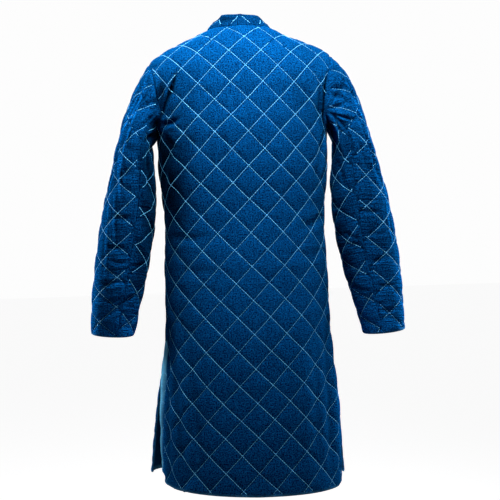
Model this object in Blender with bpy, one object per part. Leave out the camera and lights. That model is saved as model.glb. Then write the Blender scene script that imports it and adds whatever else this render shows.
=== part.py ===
"""Gambeson: a knee-length quilted arming coat with a stand collar, long sleeves and side slits.

The coat keeps the hollow form it has when it is worn, with nobody in it. Every piece is one padded
cloth wall: a grid of points on the coat's outer face, and the same points moved inward by the cloth's
thickness. Pieces that are sewn together share their seam's points and stand SEAM_GAP apart.

Frame: metres, +X to the wearer's left, -Y forward, +Z up. The origin is on the centre line of the
neck, level with the points where the collar meets the shoulders.
"""

import math

import bmesh
import bpy
import numpy as np

# ---- Driving dimensions, in metres ---------------------------------------------------------------
CLOTH = 0.006
SEAM_GAP = 0.0004

# Heights. The hem is raised on the left by the time it reaches the side, and lowered on the right.
BACK_HEM = -1.055
FRONT_HEM = -1.045
HEM_SIDE_RISE = {"left": 0.015, "right": -0.005}
SLIT_TOP = -0.722
UNDERARM = -0.230
ROOF_FOOT = -0.165
# The row of points that meets the side seam's top dips this far towards the centre.
UNDERARM_DIP = 0.055
# The cloth's run from the shoulder blades up to the ridge of the shoulders.
ROOF_RUN = 0.130

# The back's hem corners rise in a quarter round that starts this share of the way to the side.
CORNER_RISE = 0.030
CORNER_START = 0.84

NECK_HALF_WIDTH = 0.0775
NECK_BACK = 0.058
NECK_FRONT = 0.088
SHOULDER_HALF_WIDTH = 0.2135
COLLAR_HEIGHT = 0.032
# The collar stands this much higher on the left of the neck, and as much lower on the right.
COLLAR_SIDE_RISE = 0.0035
COLLAR_TAPER = 0.80
COLLAR_TILT = math.radians(12)

# Exponents of the superellipses: level sections of the trunk, and the bend over the shoulders.
TRUNK_SQUARENESS = 2.35
ROOF_SQUARENESS = 2.15

# Cells of each stretch of cloth: half way round the panel, up it, and over the collar and sleeve.
CELLS_NECK = 4
CELLS_SHOULDER = 8
CELLS_SKIRT = 5
CELLS_SIDE = 8
CELLS_ARMHOLE = 8
CELLS_CAP = 5
CELLS_ARM = 10
CELLS_COLLAR = 2
CELLS_HALF = CELLS_NECK + CELLS_SHOULDER

# Level sections of the trunk, from the shoulder blades down to the hem.
TRUNK = {
    "height": (-0.165, -0.230, -0.330, -0.440, -0.560, -0.722, -0.880, -1.052),
    "half_width": (0.2155, 0.2005, 0.1970, 0.1860, 0.1895, 0.1925, 0.2050, 0.2085),
    "back_depth": (0.118, 0.125, 0.120, 0.106, 0.124, 0.146, 0.160, 0.172),
    "front_depth": (0.108, 0.122, 0.120, 0.112, 0.118, 0.128, 0.136, 0.142),
}

# Ridge of the shoulders: its height at each distance from the centre line. The left one hangs lower.
RIDGE = {
    "across": (0.000, 0.050, 0.0775, 0.120, 0.155, 0.188, 0.204, 0.2135, 0.222),
    "left": (0.022, 0.011, -0.002, -0.0235, -0.040, -0.057, -0.068, -0.079, -0.093),
    "right": (0.022, 0.013, 0.000, -0.020, -0.032, -0.045, -0.053, -0.062, -0.075),
}

# The armhole's curve on each panel, between the underarm and the shoulder tip: its two control
# points, by their share of the way to the side seam and their place up the panel.
ARMHOLE = {
    "panel": ("back", "front"),
    "low_share": (0.62, 0.60),
    "low_place": (-0.210, -0.210),
    "high_share": (0.78, 0.75),
    "high_place": (-0.180, -0.180),
}

# How far each panel's side edge has moved out and back at the hem, below the slit.
SLIT_SPREAD = {
    "panel": ("back", "front_left", "front_right"),
    "out": (0.000, 0.030, 0.016),
    "back": (0.006, -0.022, -0.018),
}

# A direction along which no seam runs square: it settles how the rims on both sides of a seam split.
RIM_SPLIT = (0.31, 0.57, 0.76)

# The largest folds: straight furrows (depth above 0) and swells (below 0) on one side of a panel. Each
# grows from its top end, and either fades at its lower end or runs off the hem.
FOLDS = {
    "panel": ("back", "back", "back", "back", "back", "front_left", "front_right", "front_left"),
    "side": ("left", "left", "right", "right", "right", "left", "right", "left"),
    "top_share": (0.66, 0.86, 0.80, 0.90, 0.62, 0.66, 0.70, 0.40),
    "top_height": (-0.06, -0.60, -0.07, -0.66, -0.70, -0.62, -0.66, -0.70),
    "end_share": (0.90, 0.82, 0.88, 0.84, 0.60, 0.72, 0.74, 0.42),
    "end_height": (-0.26, -1.06, -0.22, -1.06, -1.06, -1.06, -1.06, -1.06),
    "fades": (True, False, True, False, False, False, False, False),
    "half_width": (0.020, 0.026, 0.018, 0.024, 0.035, 0.030, 0.032, 0.040),
    "depth": (0.009, 0.008, 0.006, 0.009, -0.005, 0.008, 0.007, -0.006),
}

# The sleeves: the cap's direction, out and up, where it leaves the shoulder tip, and cross-sections
# from below the armhole to the cuff. The left forearm is further forward, and the right arm hangs
# straighter.
SLEEVES = {
    "left": {
        "cap_start": (0.58, -0.81),
        "height": (-0.290, -0.345, -0.400, -0.490, -0.560, -0.630, -0.706),
        "centre_x": (0.2530, 0.2575, 0.2640, 0.2795, 0.2920, 0.3055, 0.3175),
        "centre_y": (0.002, 0.001, 0.000, -0.004, -0.013, -0.027, -0.046),
        "half_width": (0.0445, 0.0525, 0.0600, 0.0630, 0.0610, 0.0570, 0.0500),
        "half_depth": (0.0750, 0.0720, 0.0680, 0.0600, 0.0555, 0.0475, 0.0385),
    },
    "right": {
        "cap_start": (0.80, -0.60),
        "height": (-0.290, -0.345, -0.400, -0.490, -0.560, -0.630, -0.719),
        "centre_x": (0.2625, 0.2665, 0.2740, 0.2880, 0.3015, 0.3150, 0.3310),
        "centre_y": (0.004, 0.005, 0.005, 0.003, -0.002, -0.009, -0.020),
        "half_width": (0.0485, 0.0595, 0.0665, 0.0700, 0.0675, 0.0605, 0.0500),
        "half_depth": (0.0740, 0.0690, 0.0630, 0.0540, 0.0500, 0.0440, 0.0385),
    },
}
# The cap's direction where it leaves the underarm, out and up, and the back, and the part of its run
# over which it bends.
CAP_START_UNDER = (0.85, -0.50)
CAP_START_REAR = 0.20
CAP_REACH = 0.36

CLOTH_COLOUR = (0.003, 0.075, 0.27, 1.0)
CLOTH_ROUGHNESS = 0.85


# ---- Small helpers --------------------------------------------------------------------------------
def row_of(table, name):
    """The table's row for a panel, as a dictionary of its columns."""
    i = table["panel"].index(name)
    return {column: values[i] for column, values in table.items()}


def smooth(table, key, column, at):
    """The table's column at one value of its key, on a smooth curve through the rows."""
    keys = np.array(table[key], float)
    values = np.array(table[column], float)
    if keys[0] > keys[-1]:
        keys, values = keys[::-1], values[::-1]
    slopes = np.gradient(values, keys)
    at = min(max(at, keys[0]), keys[-1])
    i = min(int(np.searchsorted(keys, at, "right")) - 1, len(keys) - 2)
    span = keys[i + 1] - keys[i]
    t = (at - keys[i]) / span
    ends = values[i] * (1 + 2 * t) * (1 - t) ** 2 + values[i + 1] * t * t * (3 - 2 * t)
    return ends + span * t * (1 - t) * (slopes[i] * (1 - t) - slopes[i + 1] * t)


def unit(vectors):
    """The vectors with length 1."""
    return vectors / np.maximum(np.linalg.norm(vectors, axis=-1, keepdims=True), 1e-12)


def bezier(controls, t):
    """A point, or an array of points, on the cubic Bezier curve with these control points."""
    a, b, c, d = (np.array(control, float) for control in controls)
    return a * (1 - t) ** 3 + 3 * b * t * (1 - t) ** 2 + 3 * c * t * t * (1 - t) + d * t**3


def mirrored(points):
    """The same points on the other side of the centre line."""
    return points * np.array((-1.0, 1.0, 1.0))


# ---- The trunk's form -----------------------------------------------------------------------------
def quarter_shares(samples=400):
    """Angles along a quarter of a trunk section, the share of its length at each, and its length."""
    angles = np.linspace(0, math.pi / 2, samples)
    x = TRUNK["half_width"][0] * np.sin(angles) ** (2 / TRUNK_SQUARENESS)
    y = TRUNK["back_depth"][0] * np.cos(angles) ** (2 / TRUNK_SQUARENESS)
    length = np.concatenate([[0], np.cumsum(np.hypot(np.diff(x), np.diff(y)))])
    return angles, length / length[-1], length[-1]


QUARTER_ANGLES, QUARTER_SHARES, QUARTER_LENGTH = quarter_shares()


def across(share):
    """Part of the half width reached at this share of the way from the centre to the side seam."""
    angle = np.interp(share, QUARTER_SHARES, QUARTER_ANGLES)
    return math.sin(angle) ** (2 / TRUNK_SQUARENESS)


def forward(share):
    """Part of the depth that is left at this share of the way from the centre to the side seam."""
    angle = np.interp(share, QUARTER_SHARES, QUARTER_ANGLES)
    return max(0.0, math.cos(angle)) ** (2 / TRUNK_SQUARENESS)


def share_at(part):
    """The share of the way to the side seam at which the form is this part of its half width out."""
    angle = math.asin(min(1.0, part) ** (TRUNK_SQUARENESS / 2))
    return float(np.interp(angle, QUARTER_ANGLES, QUARTER_SHARES))


def trunk_point(panel, side, share, place):
    """A point on the outer face, mirrored to +X: share runs from the centre line, 0, to the side, 1.

    Place is a height up to ROOF_FOOT. Above it the cloth bends over the shoulders, and place goes on
    by ROOF_RUN to their ridge.
    """
    back = panel == "back"
    height = min(place, ROOF_FOOT)
    half_width = smooth(TRUNK, "height", "half_width", height)
    depth = smooth(TRUNK, "height", "back_depth" if back else "front_depth", height)
    side_y = 0.0
    if place < SLIT_TOP:
        opened = ((SLIT_TOP - place) / (SLIT_TOP - BACK_HEM)) ** 1.2
        spread = row_of(SLIT_SPREAD, panel)
        half_width += spread["out"] * opened
        side_y = spread["back"] * opened
    x = half_width * across(share)
    y = side_y + ((depth if back else -depth) - side_y) * forward(share)
    if place <= ROOF_FOOT:
        return np.array((x, y, place))
    turn = min(1.0, (place - ROOF_FOOT) / ROOF_RUN) * math.pi / 2
    ridge = smooth(RIDGE, "across", side, x)
    y *= max(0.0, math.cos(turn)) ** (2 / ROOF_SQUARENESS)
    z = ROOF_FOOT + (ridge - ROOF_FOOT) * math.sin(turn) ** (2 / ROOF_SQUARENESS)
    return np.array((x, y, z))


def top_edge(panel):
    """Share and place of the panel's top edge: half the neckline, then the shoulder seam."""
    back = panel == "back"
    neck_depth = NECK_BACK if back else NECK_FRONT
    roof_depth = TRUNK["back_depth" if back else "front_depth"][0]
    roof_width = TRUNK["half_width"][0]
    edge = []
    for i in range(CELLS_NECK + 1):
        angle = math.pi / 2 * i / CELLS_NECK
        share = share_at(NECK_HALF_WIDTH * math.sin(angle) / roof_width)
        part = max(0.0, neck_depth * math.cos(angle) / (roof_depth * forward(share)))
        lift = math.acos(part ** (ROOF_SQUARENESS / 2)) / (math.pi / 2)
        edge.append((share, ROOF_FOOT + ROOF_RUN * lift))
    neck_share = edge[-1][0]
    tip_share = share_at(SHOULDER_HALF_WIDTH / roof_width)
    for i in range(1, CELLS_SHOULDER + 1):
        share = neck_share + (tip_share - neck_share) * i / CELLS_SHOULDER
        edge.append((share, ROOF_FOOT + ROOF_RUN))
    return np.array(edge)


def yoke_places(panel):
    """Share and place of the points above the underarm: the armhole bounds them at the side."""
    top = top_edge(panel)
    shape = row_of(ARMHOLE, panel.split("_")[0])
    armhole = (
        (1.0, UNDERARM),
        (shape["low_share"], shape["low_place"]),
        (shape["high_share"], shape["high_place"]),
        top[-1],
    )
    u = np.linspace(0, 1, CELLS_HALF + 1)[:, None]
    foot = np.hstack([u, underarm_line(u)])
    rows = []
    for v in np.linspace(0, 1, CELLS_ARMHOLE + 1):
        side = bezier(armhole, v)
        centre = foot[0] * (1 - v) + top[0] * v
        between = (1 - u) * centre + u * side
        corners = (1 - u) * ((1 - v) * foot[0] + v * top[0]) + u * ((1 - v) * foot[-1] + v * top[-1])
        rows.append((1 - v) * foot + v * top + between - corners)
    return np.array(rows)


def underarm_line(share):
    """Height of the row of points that meets the side seam's top: it dips towards the centre."""
    return UNDERARM - UNDERARM_DIP * (1 - share**4)


def body_places(panel, side):
    """Share and place of the points from the hem up to the underarm."""
    back = panel == "back"
    shares = np.linspace(0, 1, CELLS_HALF + 1)
    start = (BACK_HEM if back else FRONT_HEM) + HEM_SIDE_RISE[side] * shares
    if back:
        corner = np.clip((shares - CORNER_START) / (1 - CORNER_START), 0, 1)
        start += CORNER_RISE * (1 - np.sqrt(1 - corner**2))
    skirt = [start + (SLIT_TOP - start) * i / CELLS_SKIRT for i in range(CELLS_SKIRT)]
    top = underarm_line(shares)
    upper = [SLIT_TOP + (top - SLIT_TOP) * i / CELLS_SIDE for i in range(CELLS_SIDE)]
    return np.array([np.stack([shares, row], axis=1) for row in skirt + upper])


def fold_depth(panel, side, share, height):
    """How far the folds on one side of the panel press the point in."""
    depth = 0.0
    for i in range(len(FOLDS["panel"])):
        fold = {column: values[i] for column, values in FOLDS.items()}
        along = (fold["top_height"] - height) / (fold["top_height"] - fold["end_height"])
        if (fold["panel"], fold["side"]) != (panel, side) or not 0 <= along <= 1:
            continue
        line = fold["top_share"] + (fold["end_share"] - fold["top_share"]) * along
        distance = (share - line) * QUARTER_LENGTH / fold["half_width"]
        turn = math.pi if fold["fades"] else math.pi / 2
        depth += fold["depth"] * math.exp(-(distance**2)) * math.sin(turn * along) ** 2
    return depth


def half_panel(panel, side):
    """The half of a panel on one side, left or right: rows from the hem up, columns outward."""
    places = np.concatenate([body_places(panel, side), yoke_places(panel)])
    grid = np.array([[trunk_point(panel, side, *place) for place in row] for row in places])
    depths = np.zeros(places.shape[:2])
    for i, j in np.ndindex(depths.shape):
        depths[i, j] = fold_depth(panel, side, places[i, j, 0], grid[i, j, 2])
    # Seams and the centre line keep their places.
    depths[:, 0] = 0
    depths[CELLS_SKIRT:, -1] = 0
    depths[-1] = 0
    grid -= outward(grid) * depths[..., None]
    return grid if side == "left" else mirrored(grid)


# ---- Sleeves and collar ---------------------------------------------------------------------------
def arm_centre(sleeve, height):
    """The middle of the sleeve at this height."""
    x = smooth(sleeve, "height", "centre_x", height)
    y = smooth(sleeve, "height", "centre_y", height)
    return np.array((x, y, height))


def sleeve_ring(sleeve, height):
    """Points round the sleeve, square to the arm: from its outer side, round the back."""
    step = 0.01
    axis = unit(arm_centre(sleeve, height - step) - arm_centre(sleeve, height + step))
    side = unit(np.array((1.0, 0.0, 0.0)) - axis * axis[0])
    rear = np.cross(side, axis)
    turns = np.arange(2 * CELLS_ARMHOLE) * math.pi / CELLS_ARMHOLE
    width = np.cos(turns) * smooth(sleeve, "height", "half_width", height)
    depth = np.sin(turns) * smooth(sleeve, "height", "half_depth", height)
    return arm_centre(sleeve, height) + np.outer(width, side) + np.outer(depth, rear)


def cap_start(top):
    """The directions in which the sleeve's columns leave the armhole seam."""
    turns = np.arange(2 * CELLS_ARMHOLE) * math.pi / CELLS_ARMHOLE
    upper = (1 + np.cos(turns)) / 2
    out = upper * top[0] + (1 - upper) * CAP_START_UNDER[0]
    up = upper * top[1] + (1 - upper) * CAP_START_UNDER[1]
    return unit(np.stack([out, CAP_START_REAR * np.sin(turns), up], axis=1))


def sleeve_grid(sleeve, armhole):
    """Rows of points from the armhole seam, over the cap and down to the cuff, mirrored to +X."""
    top, cuff = sleeve["height"][0], sleeve["height"][-1]
    ring = sleeve_ring(sleeve, top)
    arriving = unit(ring - sleeve_ring(sleeve, top - 0.01))
    reach = np.linalg.norm(ring - armhole, axis=1, keepdims=True) * CAP_REACH
    controls = (armhole, armhole + cap_start(sleeve["cap_start"]) * reach, ring + arriving * reach, ring)
    cap = [bezier(controls, i / CELLS_CAP) for i in range(CELLS_CAP)]
    arm = [sleeve_ring(sleeve, top + (cuff - top) * i / CELLS_ARM) for i in range(CELLS_ARM + 1)]
    return np.array(cap + arm)


def collar_grid(neckline):
    """Rows of points from the neckline up to the collar's top edge."""
    centre = (neckline.min(0) + neckline.max(0)) / 2
    height = COLLAR_HEIGHT + COLLAR_SIDE_RISE * neckline[:, :1] / NECK_HALF_WIDTH
    rise = height * np.array((0.0, -math.sin(COLLAR_TILT), math.cos(COLLAR_TILT)))
    rows = []
    for up in np.linspace(0, 1, CELLS_COLLAR + 1):
        scale = 1 + (COLLAR_TAPER - 1) * up
        rows.append(centre + (neckline - centre) * np.array((scale, scale, 1)) + rise * up)
    return np.array(rows)


# ---- Walls ----------------------------------------------------------------------------------------
def outward(grid, tube=False):
    """Unit normals of a grid of points, away from the hollow inside it."""
    if tube:
        around = np.roll(grid, -1, axis=1) - np.roll(grid, 1, axis=1)
    else:
        around = np.gradient(grid, axis=1)
    normals = unit(np.cross(around, np.gradient(grid, axis=0)))
    middle = grid.mean(axis=(0, 1))
    return normals if (normals * (grid - middle)).sum() > 0 else -normals


def share_seam_normals(pieces):
    """Give the pieces one direction where they meet, so that their edges face each other squarely.

    Where a sleeve meets two panels, it counts as much as both.
    """
    meeting = {}
    for piece in pieces:
        for index in np.ndindex(piece["points"].shape[:2]):
            key = tuple(np.round(piece["points"][index] * 1e5).astype(int))
            meeting.setdefault(key, []).append((piece["normals"], index, piece["tube"]))
    for members in meeting.values():
        sleeves = [normals[index] for normals, index, tube in members if tube]
        panels = [normals[index] for normals, index, tube in members if not tube]
        common = unit(sum(unit(sum(kind)) for kind in (sleeves, panels) if kind))
        for normals, index, _ in members:
            normals[index] = common


def seam_allowance(piece):
    """How far each point of the piece's edges steps back, square to the edges that meet there."""
    points, normals = piece["points"], piece["normals"]
    every = slice(None)
    edges = [((0, every), (1, every)), ((-1, every), (-2, every))]
    if not piece["tube"]:
        edges += [((every, 0), (every, 1)), ((every, -1), (every, -2))]
    wanted = np.zeros_like(points)
    squares = np.zeros((*points.shape, 3))
    for edge, inside in edges:
        line = points[edge]
        if piece["tube"]:
            tangent = unit(np.roll(line, -1, axis=0) - np.roll(line, 1, axis=0))
        else:
            tangent = unit(np.gradient(line, axis=0))
        inward = points[inside] - line
        for direction in (tangent, normals[edge]):
            inward = inward - (inward * direction).sum(-1, keepdims=True) * direction
        inward = unit(inward)
        wanted[edge] += inward * SEAM_GAP / 2
        squares[edge] += inward[..., :, None] * inward[..., None, :]
    step = np.zeros_like(points)
    for index in np.ndindex(points.shape[:2]):
        if wanted[index].any():
            step[index] = np.linalg.lstsq(squares[index], wanted[index], rcond=1e-6)[0]
    return step


def wall(name, piece):
    """One closed wall: the outer points, the same points moved inward, and the rims between them."""
    outer = piece["points"] + seam_allowance(piece)
    rows, columns = outer.shape[:2]
    mesh = bmesh.new()
    out, inn = (
        [[mesh.verts.new(point) for point in row] for row in layer]
        for layer in (outer, outer - piece["normals"] * CLOTH)
    )
    spans = range(columns if piece["tube"] else columns - 1)
    for i in range(rows - 1):
        for j in spans:
            k = (j + 1) % columns
            mesh.faces.new((out[i][j], out[i][k], out[i + 1][k], out[i + 1][j]))
            mesh.faces.new((inn[i][j], inn[i + 1][j], inn[i + 1][k], inn[i][k]))
    rims = [(0, j, 0, (j + 1) % columns) for j in spans]
    rims += [(rows - 1, (j + 1) % columns, rows - 1, j) for j in spans]
    if not piece["tube"]:
        rims += [(i + 1, 0, i, 0) for i in range(rows - 1)]
        rims += [(i, columns - 1, i + 1, columns - 1) for i in range(rows - 1)]
    for i, j, k, m in rims:
        add_rim(mesh, out[i][j], out[k][m], inn[i][j], inn[k][m])
    bmesh.ops.recalc_face_normals(mesh, faces=mesh.faces)
    data = bpy.data.meshes.new(name)
    mesh.to_mesh(data)
    mesh.free()
    data.shade_smooth()
    data.set_sharp_from_angle(angle=math.radians(50))
    data.materials.append(CLOTH_MATERIAL)
    COAT.objects.link(bpy.data.objects.new(name, data))


def add_rim(mesh, a, b, inner_a, inner_b):
    """Two triangles of a rim, split from the end that lies furthest along RIM_SPLIT."""
    if np.dot(a.co, RIM_SPLIT) < np.dot(b.co, RIM_SPLIT):
        mesh.faces.new((b, a, inner_a))
        mesh.faces.new((b, inner_a, inner_b))
    else:
        mesh.faces.new((b, a, inner_b))
        mesh.faces.new((a, inner_a, inner_b))


# ---- The coat -------------------------------------------------------------------------------------
def cloth_material():
    material = bpy.data.materials.new("quilted_cotton")
    material.use_nodes = True
    shader = material.node_tree.nodes["Principled BSDF"]
    shader.inputs["Base Color"].default_value = CLOTH_COLOUR
    shader.inputs["Roughness"].default_value = CLOTH_ROUGHNESS
    shader.inputs["Metallic"].default_value = 0.0
    return material


def piece_of(points, tube=False):
    return {"points": points, "normals": outward(points, tube), "tube": tube}


def armhole_loop(back, front):
    """The armhole seam's points: down the back from the shoulder tip, then up the front."""
    underarm_row = CELLS_SKIRT + CELLS_SIDE
    return np.concatenate([back[underarm_row:, -1][::-1], front[underarm_row + 1 : -1, -1]])


def half_neckline(back, front):
    """The neckline's points on one side, from the centre front to the centre back."""
    return np.concatenate([front[-1, : CELLS_NECK + 1], back[-1, :CELLS_NECK][::-1]])


def cut_pieces():
    """Every piece of the coat, by name."""
    pieces = {}
    backs, necks = [], []
    for side in ("left", "right"):
        back = half_panel("back", side)
        front = half_panel(f"front_{side}", side)
        loop = armhole_loop(back, front)
        if side == "left":
            sleeve = sleeve_grid(SLEEVES[side], loop)
        else:
            sleeve = mirrored(sleeve_grid(SLEEVES[side], mirrored(loop)))
        pieces[f"front_{side}"] = piece_of(front)
        pieces[f"sleeve_{side}"] = piece_of(sleeve, tube=True)
        backs.append(back)
        necks.append(half_neckline(back, front))
    pieces["back"] = piece_of(np.concatenate([backs[1][:, :0:-1], backs[0]], axis=1))
    pieces["collar"] = piece_of(collar_grid(np.concatenate([necks[0], necks[1][:-1][::-1]])))
    return pieces


def main():
    pieces = cut_pieces()
    share_seam_normals(pieces.values())
    for name, piece in pieces.items():
        wall(name, piece)


for old in list(bpy.data.objects):
    bpy.data.objects.remove(old)
COAT = bpy.data.collections.new("gambeson")
bpy.context.scene.collection.children.link(COAT)
CLOTH_MATERIAL = cloth_material()
main()
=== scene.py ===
"""Looks of the gambeson: quilted cotton panels, their stitches, a studio and a camera.

Each panel is a patch of cloth: a fine grid on the coat's form, with its folds, its quilted diamonds and
its puckers, closed round its edges with a coarser inner face. The form is the solids' own, worked out
from the same tables. A piece's flat coordinates, across and up its cut, place the quilting.

Frame: metres, +X to the wearer's left, -Y forward, +Z up, origin at the neck on the shoulders' level.
"""

import math
from itertools import pairwise, product

import bpy
import numpy as np
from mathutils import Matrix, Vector


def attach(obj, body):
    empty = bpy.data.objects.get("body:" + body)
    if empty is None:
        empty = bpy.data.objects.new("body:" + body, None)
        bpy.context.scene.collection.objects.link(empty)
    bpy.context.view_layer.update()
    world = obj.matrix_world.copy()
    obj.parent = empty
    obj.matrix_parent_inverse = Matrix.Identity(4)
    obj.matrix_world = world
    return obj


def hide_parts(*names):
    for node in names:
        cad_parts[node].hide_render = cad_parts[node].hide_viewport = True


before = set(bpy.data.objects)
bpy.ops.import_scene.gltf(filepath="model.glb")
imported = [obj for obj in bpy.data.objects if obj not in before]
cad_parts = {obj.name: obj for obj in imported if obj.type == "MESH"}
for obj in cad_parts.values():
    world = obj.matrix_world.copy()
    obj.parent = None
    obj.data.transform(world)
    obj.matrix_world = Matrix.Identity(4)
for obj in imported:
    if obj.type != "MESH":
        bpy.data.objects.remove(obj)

for name in ("Cube", "Light", "Camera"):
    if name in bpy.data.objects:
        bpy.data.objects.remove(bpy.data.objects[name])

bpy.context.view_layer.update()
BODY = "root"
CLOTH_SLOT = "quilted_cotton"
COLLAR_SLOT = "collar_cotton"
SIDES = ("left", "right")

# ---- The coat's form, as in its solids -------------------------------------------------------------
CLOTH = 0.006
# How far apart the pieces stand at a seam, and the two edges of a sleeve's own seam.
SEAM_GAP = 0.0004
SLEEVE_SEAM_GAP = 0.00004
BACK_HEM = -1.055
FRONT_HEM = -1.045
HEM_SIDE_RISE = {"left": 0.015, "right": -0.005}
SLIT_TOP = -0.722
# How the slit's spread grows from its top to the hem.
SLIT_OPENING = 1.2
UNDERARM = -0.230
UNDERARM_DIP = 0.055
ROOF_FOOT = -0.165
ROOF_RUN = 0.130
CORNER_RISE = 0.030
CORNER_START = 0.84
NECK_HALF_WIDTH = 0.0775
NECK_BACK = 0.058
NECK_FRONT = 0.088
SHOULDER_HALF_WIDTH = 0.2135
COLLAR_HEIGHT = 0.032
# The collar stands this much higher on the left of the neck, and as much lower on the right.
COLLAR_SIDE_RISE = 0.0035
COLLAR_TAPER = 0.80
COLLAR_TILT = math.radians(12)
TRUNK_SQUARENESS = 2.35
ROOF_SQUARENESS = 2.15
# The neckline's part of the columns of half a panel.
NECK_PART = 1 / 3

TRUNK = {
    "height": (-0.165, -0.230, -0.330, -0.440, -0.560, -0.722, -0.880, -1.052),
    "half_width": (0.2155, 0.2005, 0.1970, 0.1860, 0.1895, 0.1925, 0.2050, 0.2085),
    "back_depth": (0.119, 0.125, 0.122, 0.115, 0.124, 0.146, 0.160, 0.172),
    "front_depth": (0.108, 0.122, 0.120, 0.112, 0.118, 0.128, 0.136, 0.142),
}
RIDGE = {
    "across": (0.000, 0.050, 0.0775, 0.120, 0.155, 0.188, 0.204, 0.2135, 0.222),
    "left": (0.022, 0.011, -0.002, -0.0235, -0.040, -0.057, -0.068, -0.079, -0.093),
    "right": (0.022, 0.013, 0.000, -0.020, -0.032, -0.045, -0.053, -0.062, -0.075),
}
# Where each armhole's curve bends, low and high: share of the way round, and height.
ARMHOLE = {"back": ((0.62, -0.210), (0.78, -0.180)), "front": ((0.60, -0.210), (0.75, -0.180))}
# How far each panel's side edge has moved out and back at the hem, below the slit.
SLIT_SPREAD = {"back": (0.000, 0.006), "front_left": (0.030, -0.022), "front_right": (0.016, -0.018)}

SLEEVES = {
    "left": {
        "cap_start": (0.58, -0.81),
        "height": (-0.290, -0.345, -0.400, -0.490, -0.560, -0.630, -0.706),
        "centre_x": (0.2530, 0.2575, 0.2640, 0.2795, 0.2920, 0.3055, 0.3175),
        "centre_y": (0.002, 0.001, 0.000, -0.004, -0.013, -0.027, -0.046),
        "half_width": (0.0445, 0.0525, 0.0600, 0.0630, 0.0610, 0.0570, 0.0500),
        "half_depth": (0.0750, 0.0720, 0.0680, 0.0600, 0.0555, 0.0475, 0.0385),
    },
    "right": {
        "cap_start": (0.80, -0.60),
        "height": (-0.290, -0.345, -0.400, -0.490, -0.560, -0.630, -0.719),
        "centre_x": (0.2625, 0.2665, 0.2740, 0.2880, 0.3015, 0.3150, 0.3310),
        "centre_y": (0.004, 0.005, 0.005, 0.003, -0.002, -0.009, -0.020),
        "half_width": (0.0485, 0.0595, 0.0665, 0.0700, 0.0675, 0.0605, 0.0500),
        "half_depth": (0.0740, 0.0690, 0.0630, 0.0540, 0.0500, 0.0440, 0.0385),
    },
}
CAP_START_UNDER = (0.85, -0.50)
CAP_START_REAR = 0.20
CAP_REACH = 0.36
# The step along the arm that gives its direction.
ARM_STEP = 0.01
# The part of the cap after which the sleeve's seam begins to turn.
SEAM_STEADY = 0.5
# The sleeve's one seam runs down the back of the arm: its turn from the arm's outer side, at the
# armhole and at the cuff.
SLEEVE_SEAM_TURNS = (math.radians(112), math.radians(103))

# ---- The cloth -------------------------------------------------------------------------------------
# Cells of the fine grids: half a panel across, its skirt, its side and its armhole's stretch, the
# sleeve round, over its cap and down, and the collar's height. The inner face takes every fourth.
CELLS_HALF = 102
CELLS_SKIRT = 116
CELLS_SIDE = 160
CELLS_ARMHOLE = 90
CELLS_ROUND = 204
CELLS_CAP = 48
CELLS_ARM = 184
CELLS_COLLAR = 11
CELLS_COLLAR_ROUND = 150
INNER_STEP = 4
# About how long the armhole's stretch, the sleeve's cap and its round are, to place their edge rows.
YOKE_LENGTH = 0.20
CAP_LENGTH = 0.14
SLEEVE_GIRTH = 0.36
# Extra rows beside each edge, for its round: their distances in from it, and how many times the last
# one's the first even row has to be in.
EDGE_ROWS = (0.0004, 0.0010, 0.0019, 0.0032)
EDGE_ROOM = 1.5
# Columns and rows of the table that measures the trunk's cloth, and where it starts.
FLAT_COLUMNS = 80
FLAT_ROWS = 420
FLAT_START = -1.10
# Where the hollow inside a piece is, as parts of its mean place: nearer the body's middle plane.
HOLLOW = (1, 0.5, 1)
# How far a sewn edge turns in, and where on the cut the slits end.
SEAM_ROUND = 0.0010
SLIT_FLAT = -0.555
# Points closer than this are sewn together. Their shared direction reaches this far from the edge.
SEWN_REACH = 0.0035
TURN_REACH = 0.016
TURN_SHARE = 0.999
# How far from a seam its folds end, on the collar, the sleeves and the panels.
FOLD_END = {"collar": 0.014, "sleeve": 0.010, "back": 0.012, "front": 0.012}
# The slits' pale rims, a painted highlight along their edges: their width, on the back's left side too,
# its start at the slit's top on the back, and how far that tapers. A rim fades out where it has gone
# over its width by this much.
RIM_WIDTH = 0.0040
RIM_LEFT_WIDTH = 0.0115
RIM_TOP_WIDTH = 0.0150
RIM_TAPER = 0.13
RIM_START = 0.006
RIM_FADE = 1.6
# How pale the fronts' painted rim highlights are at the hem, and how much paler at the slit's top.
FRONT_RIM = (0.12, 0.68)
# How pale the painted highlight is along the fronts' hems, and along the other hems and the cuffs.
FRONT_HEM_RIM = 0.35
OTHER_HEM_RIM = 0.24
# How high the crests of the bunched cloth are, and how much paler their painted highlight makes them.
BUNCH_HEIGHT = 0.0011
BUNCH_HIGHLIGHT = 3.2
# How much paler painted light makes the cloth at the cuffs.
CUFF_PAINTED_LIGHT = 2.3

# The quilting: the diamonds' diagonal, and where a crossing lies on the centre back.
DIAMOND = 0.0736
DIAMOND_SIDE = DIAMOND / math.sqrt(2)
CROSSING_HEIGHT = -0.012
# Where each piece's lattice starts, and the cloth's stretch up and down since it was quilted.
QUILT_PHASE = {
    "back": (-0.003, CROSSING_HEIGHT),
    "front_left": (0.0, CROSSING_HEIGHT),
    "front_right": (0.0, CROSSING_HEIGHT),
    "collar": (0.0, CROSSING_HEIGHT),
    "sleeve_left": (0.0618, 0.0037),
    "sleeve_right": (0.0633, 0.0044),
}
STRETCH = {"sleeve": 1.0, "back": 1.024, "front": 1.024, "collar": 1.024}
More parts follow.
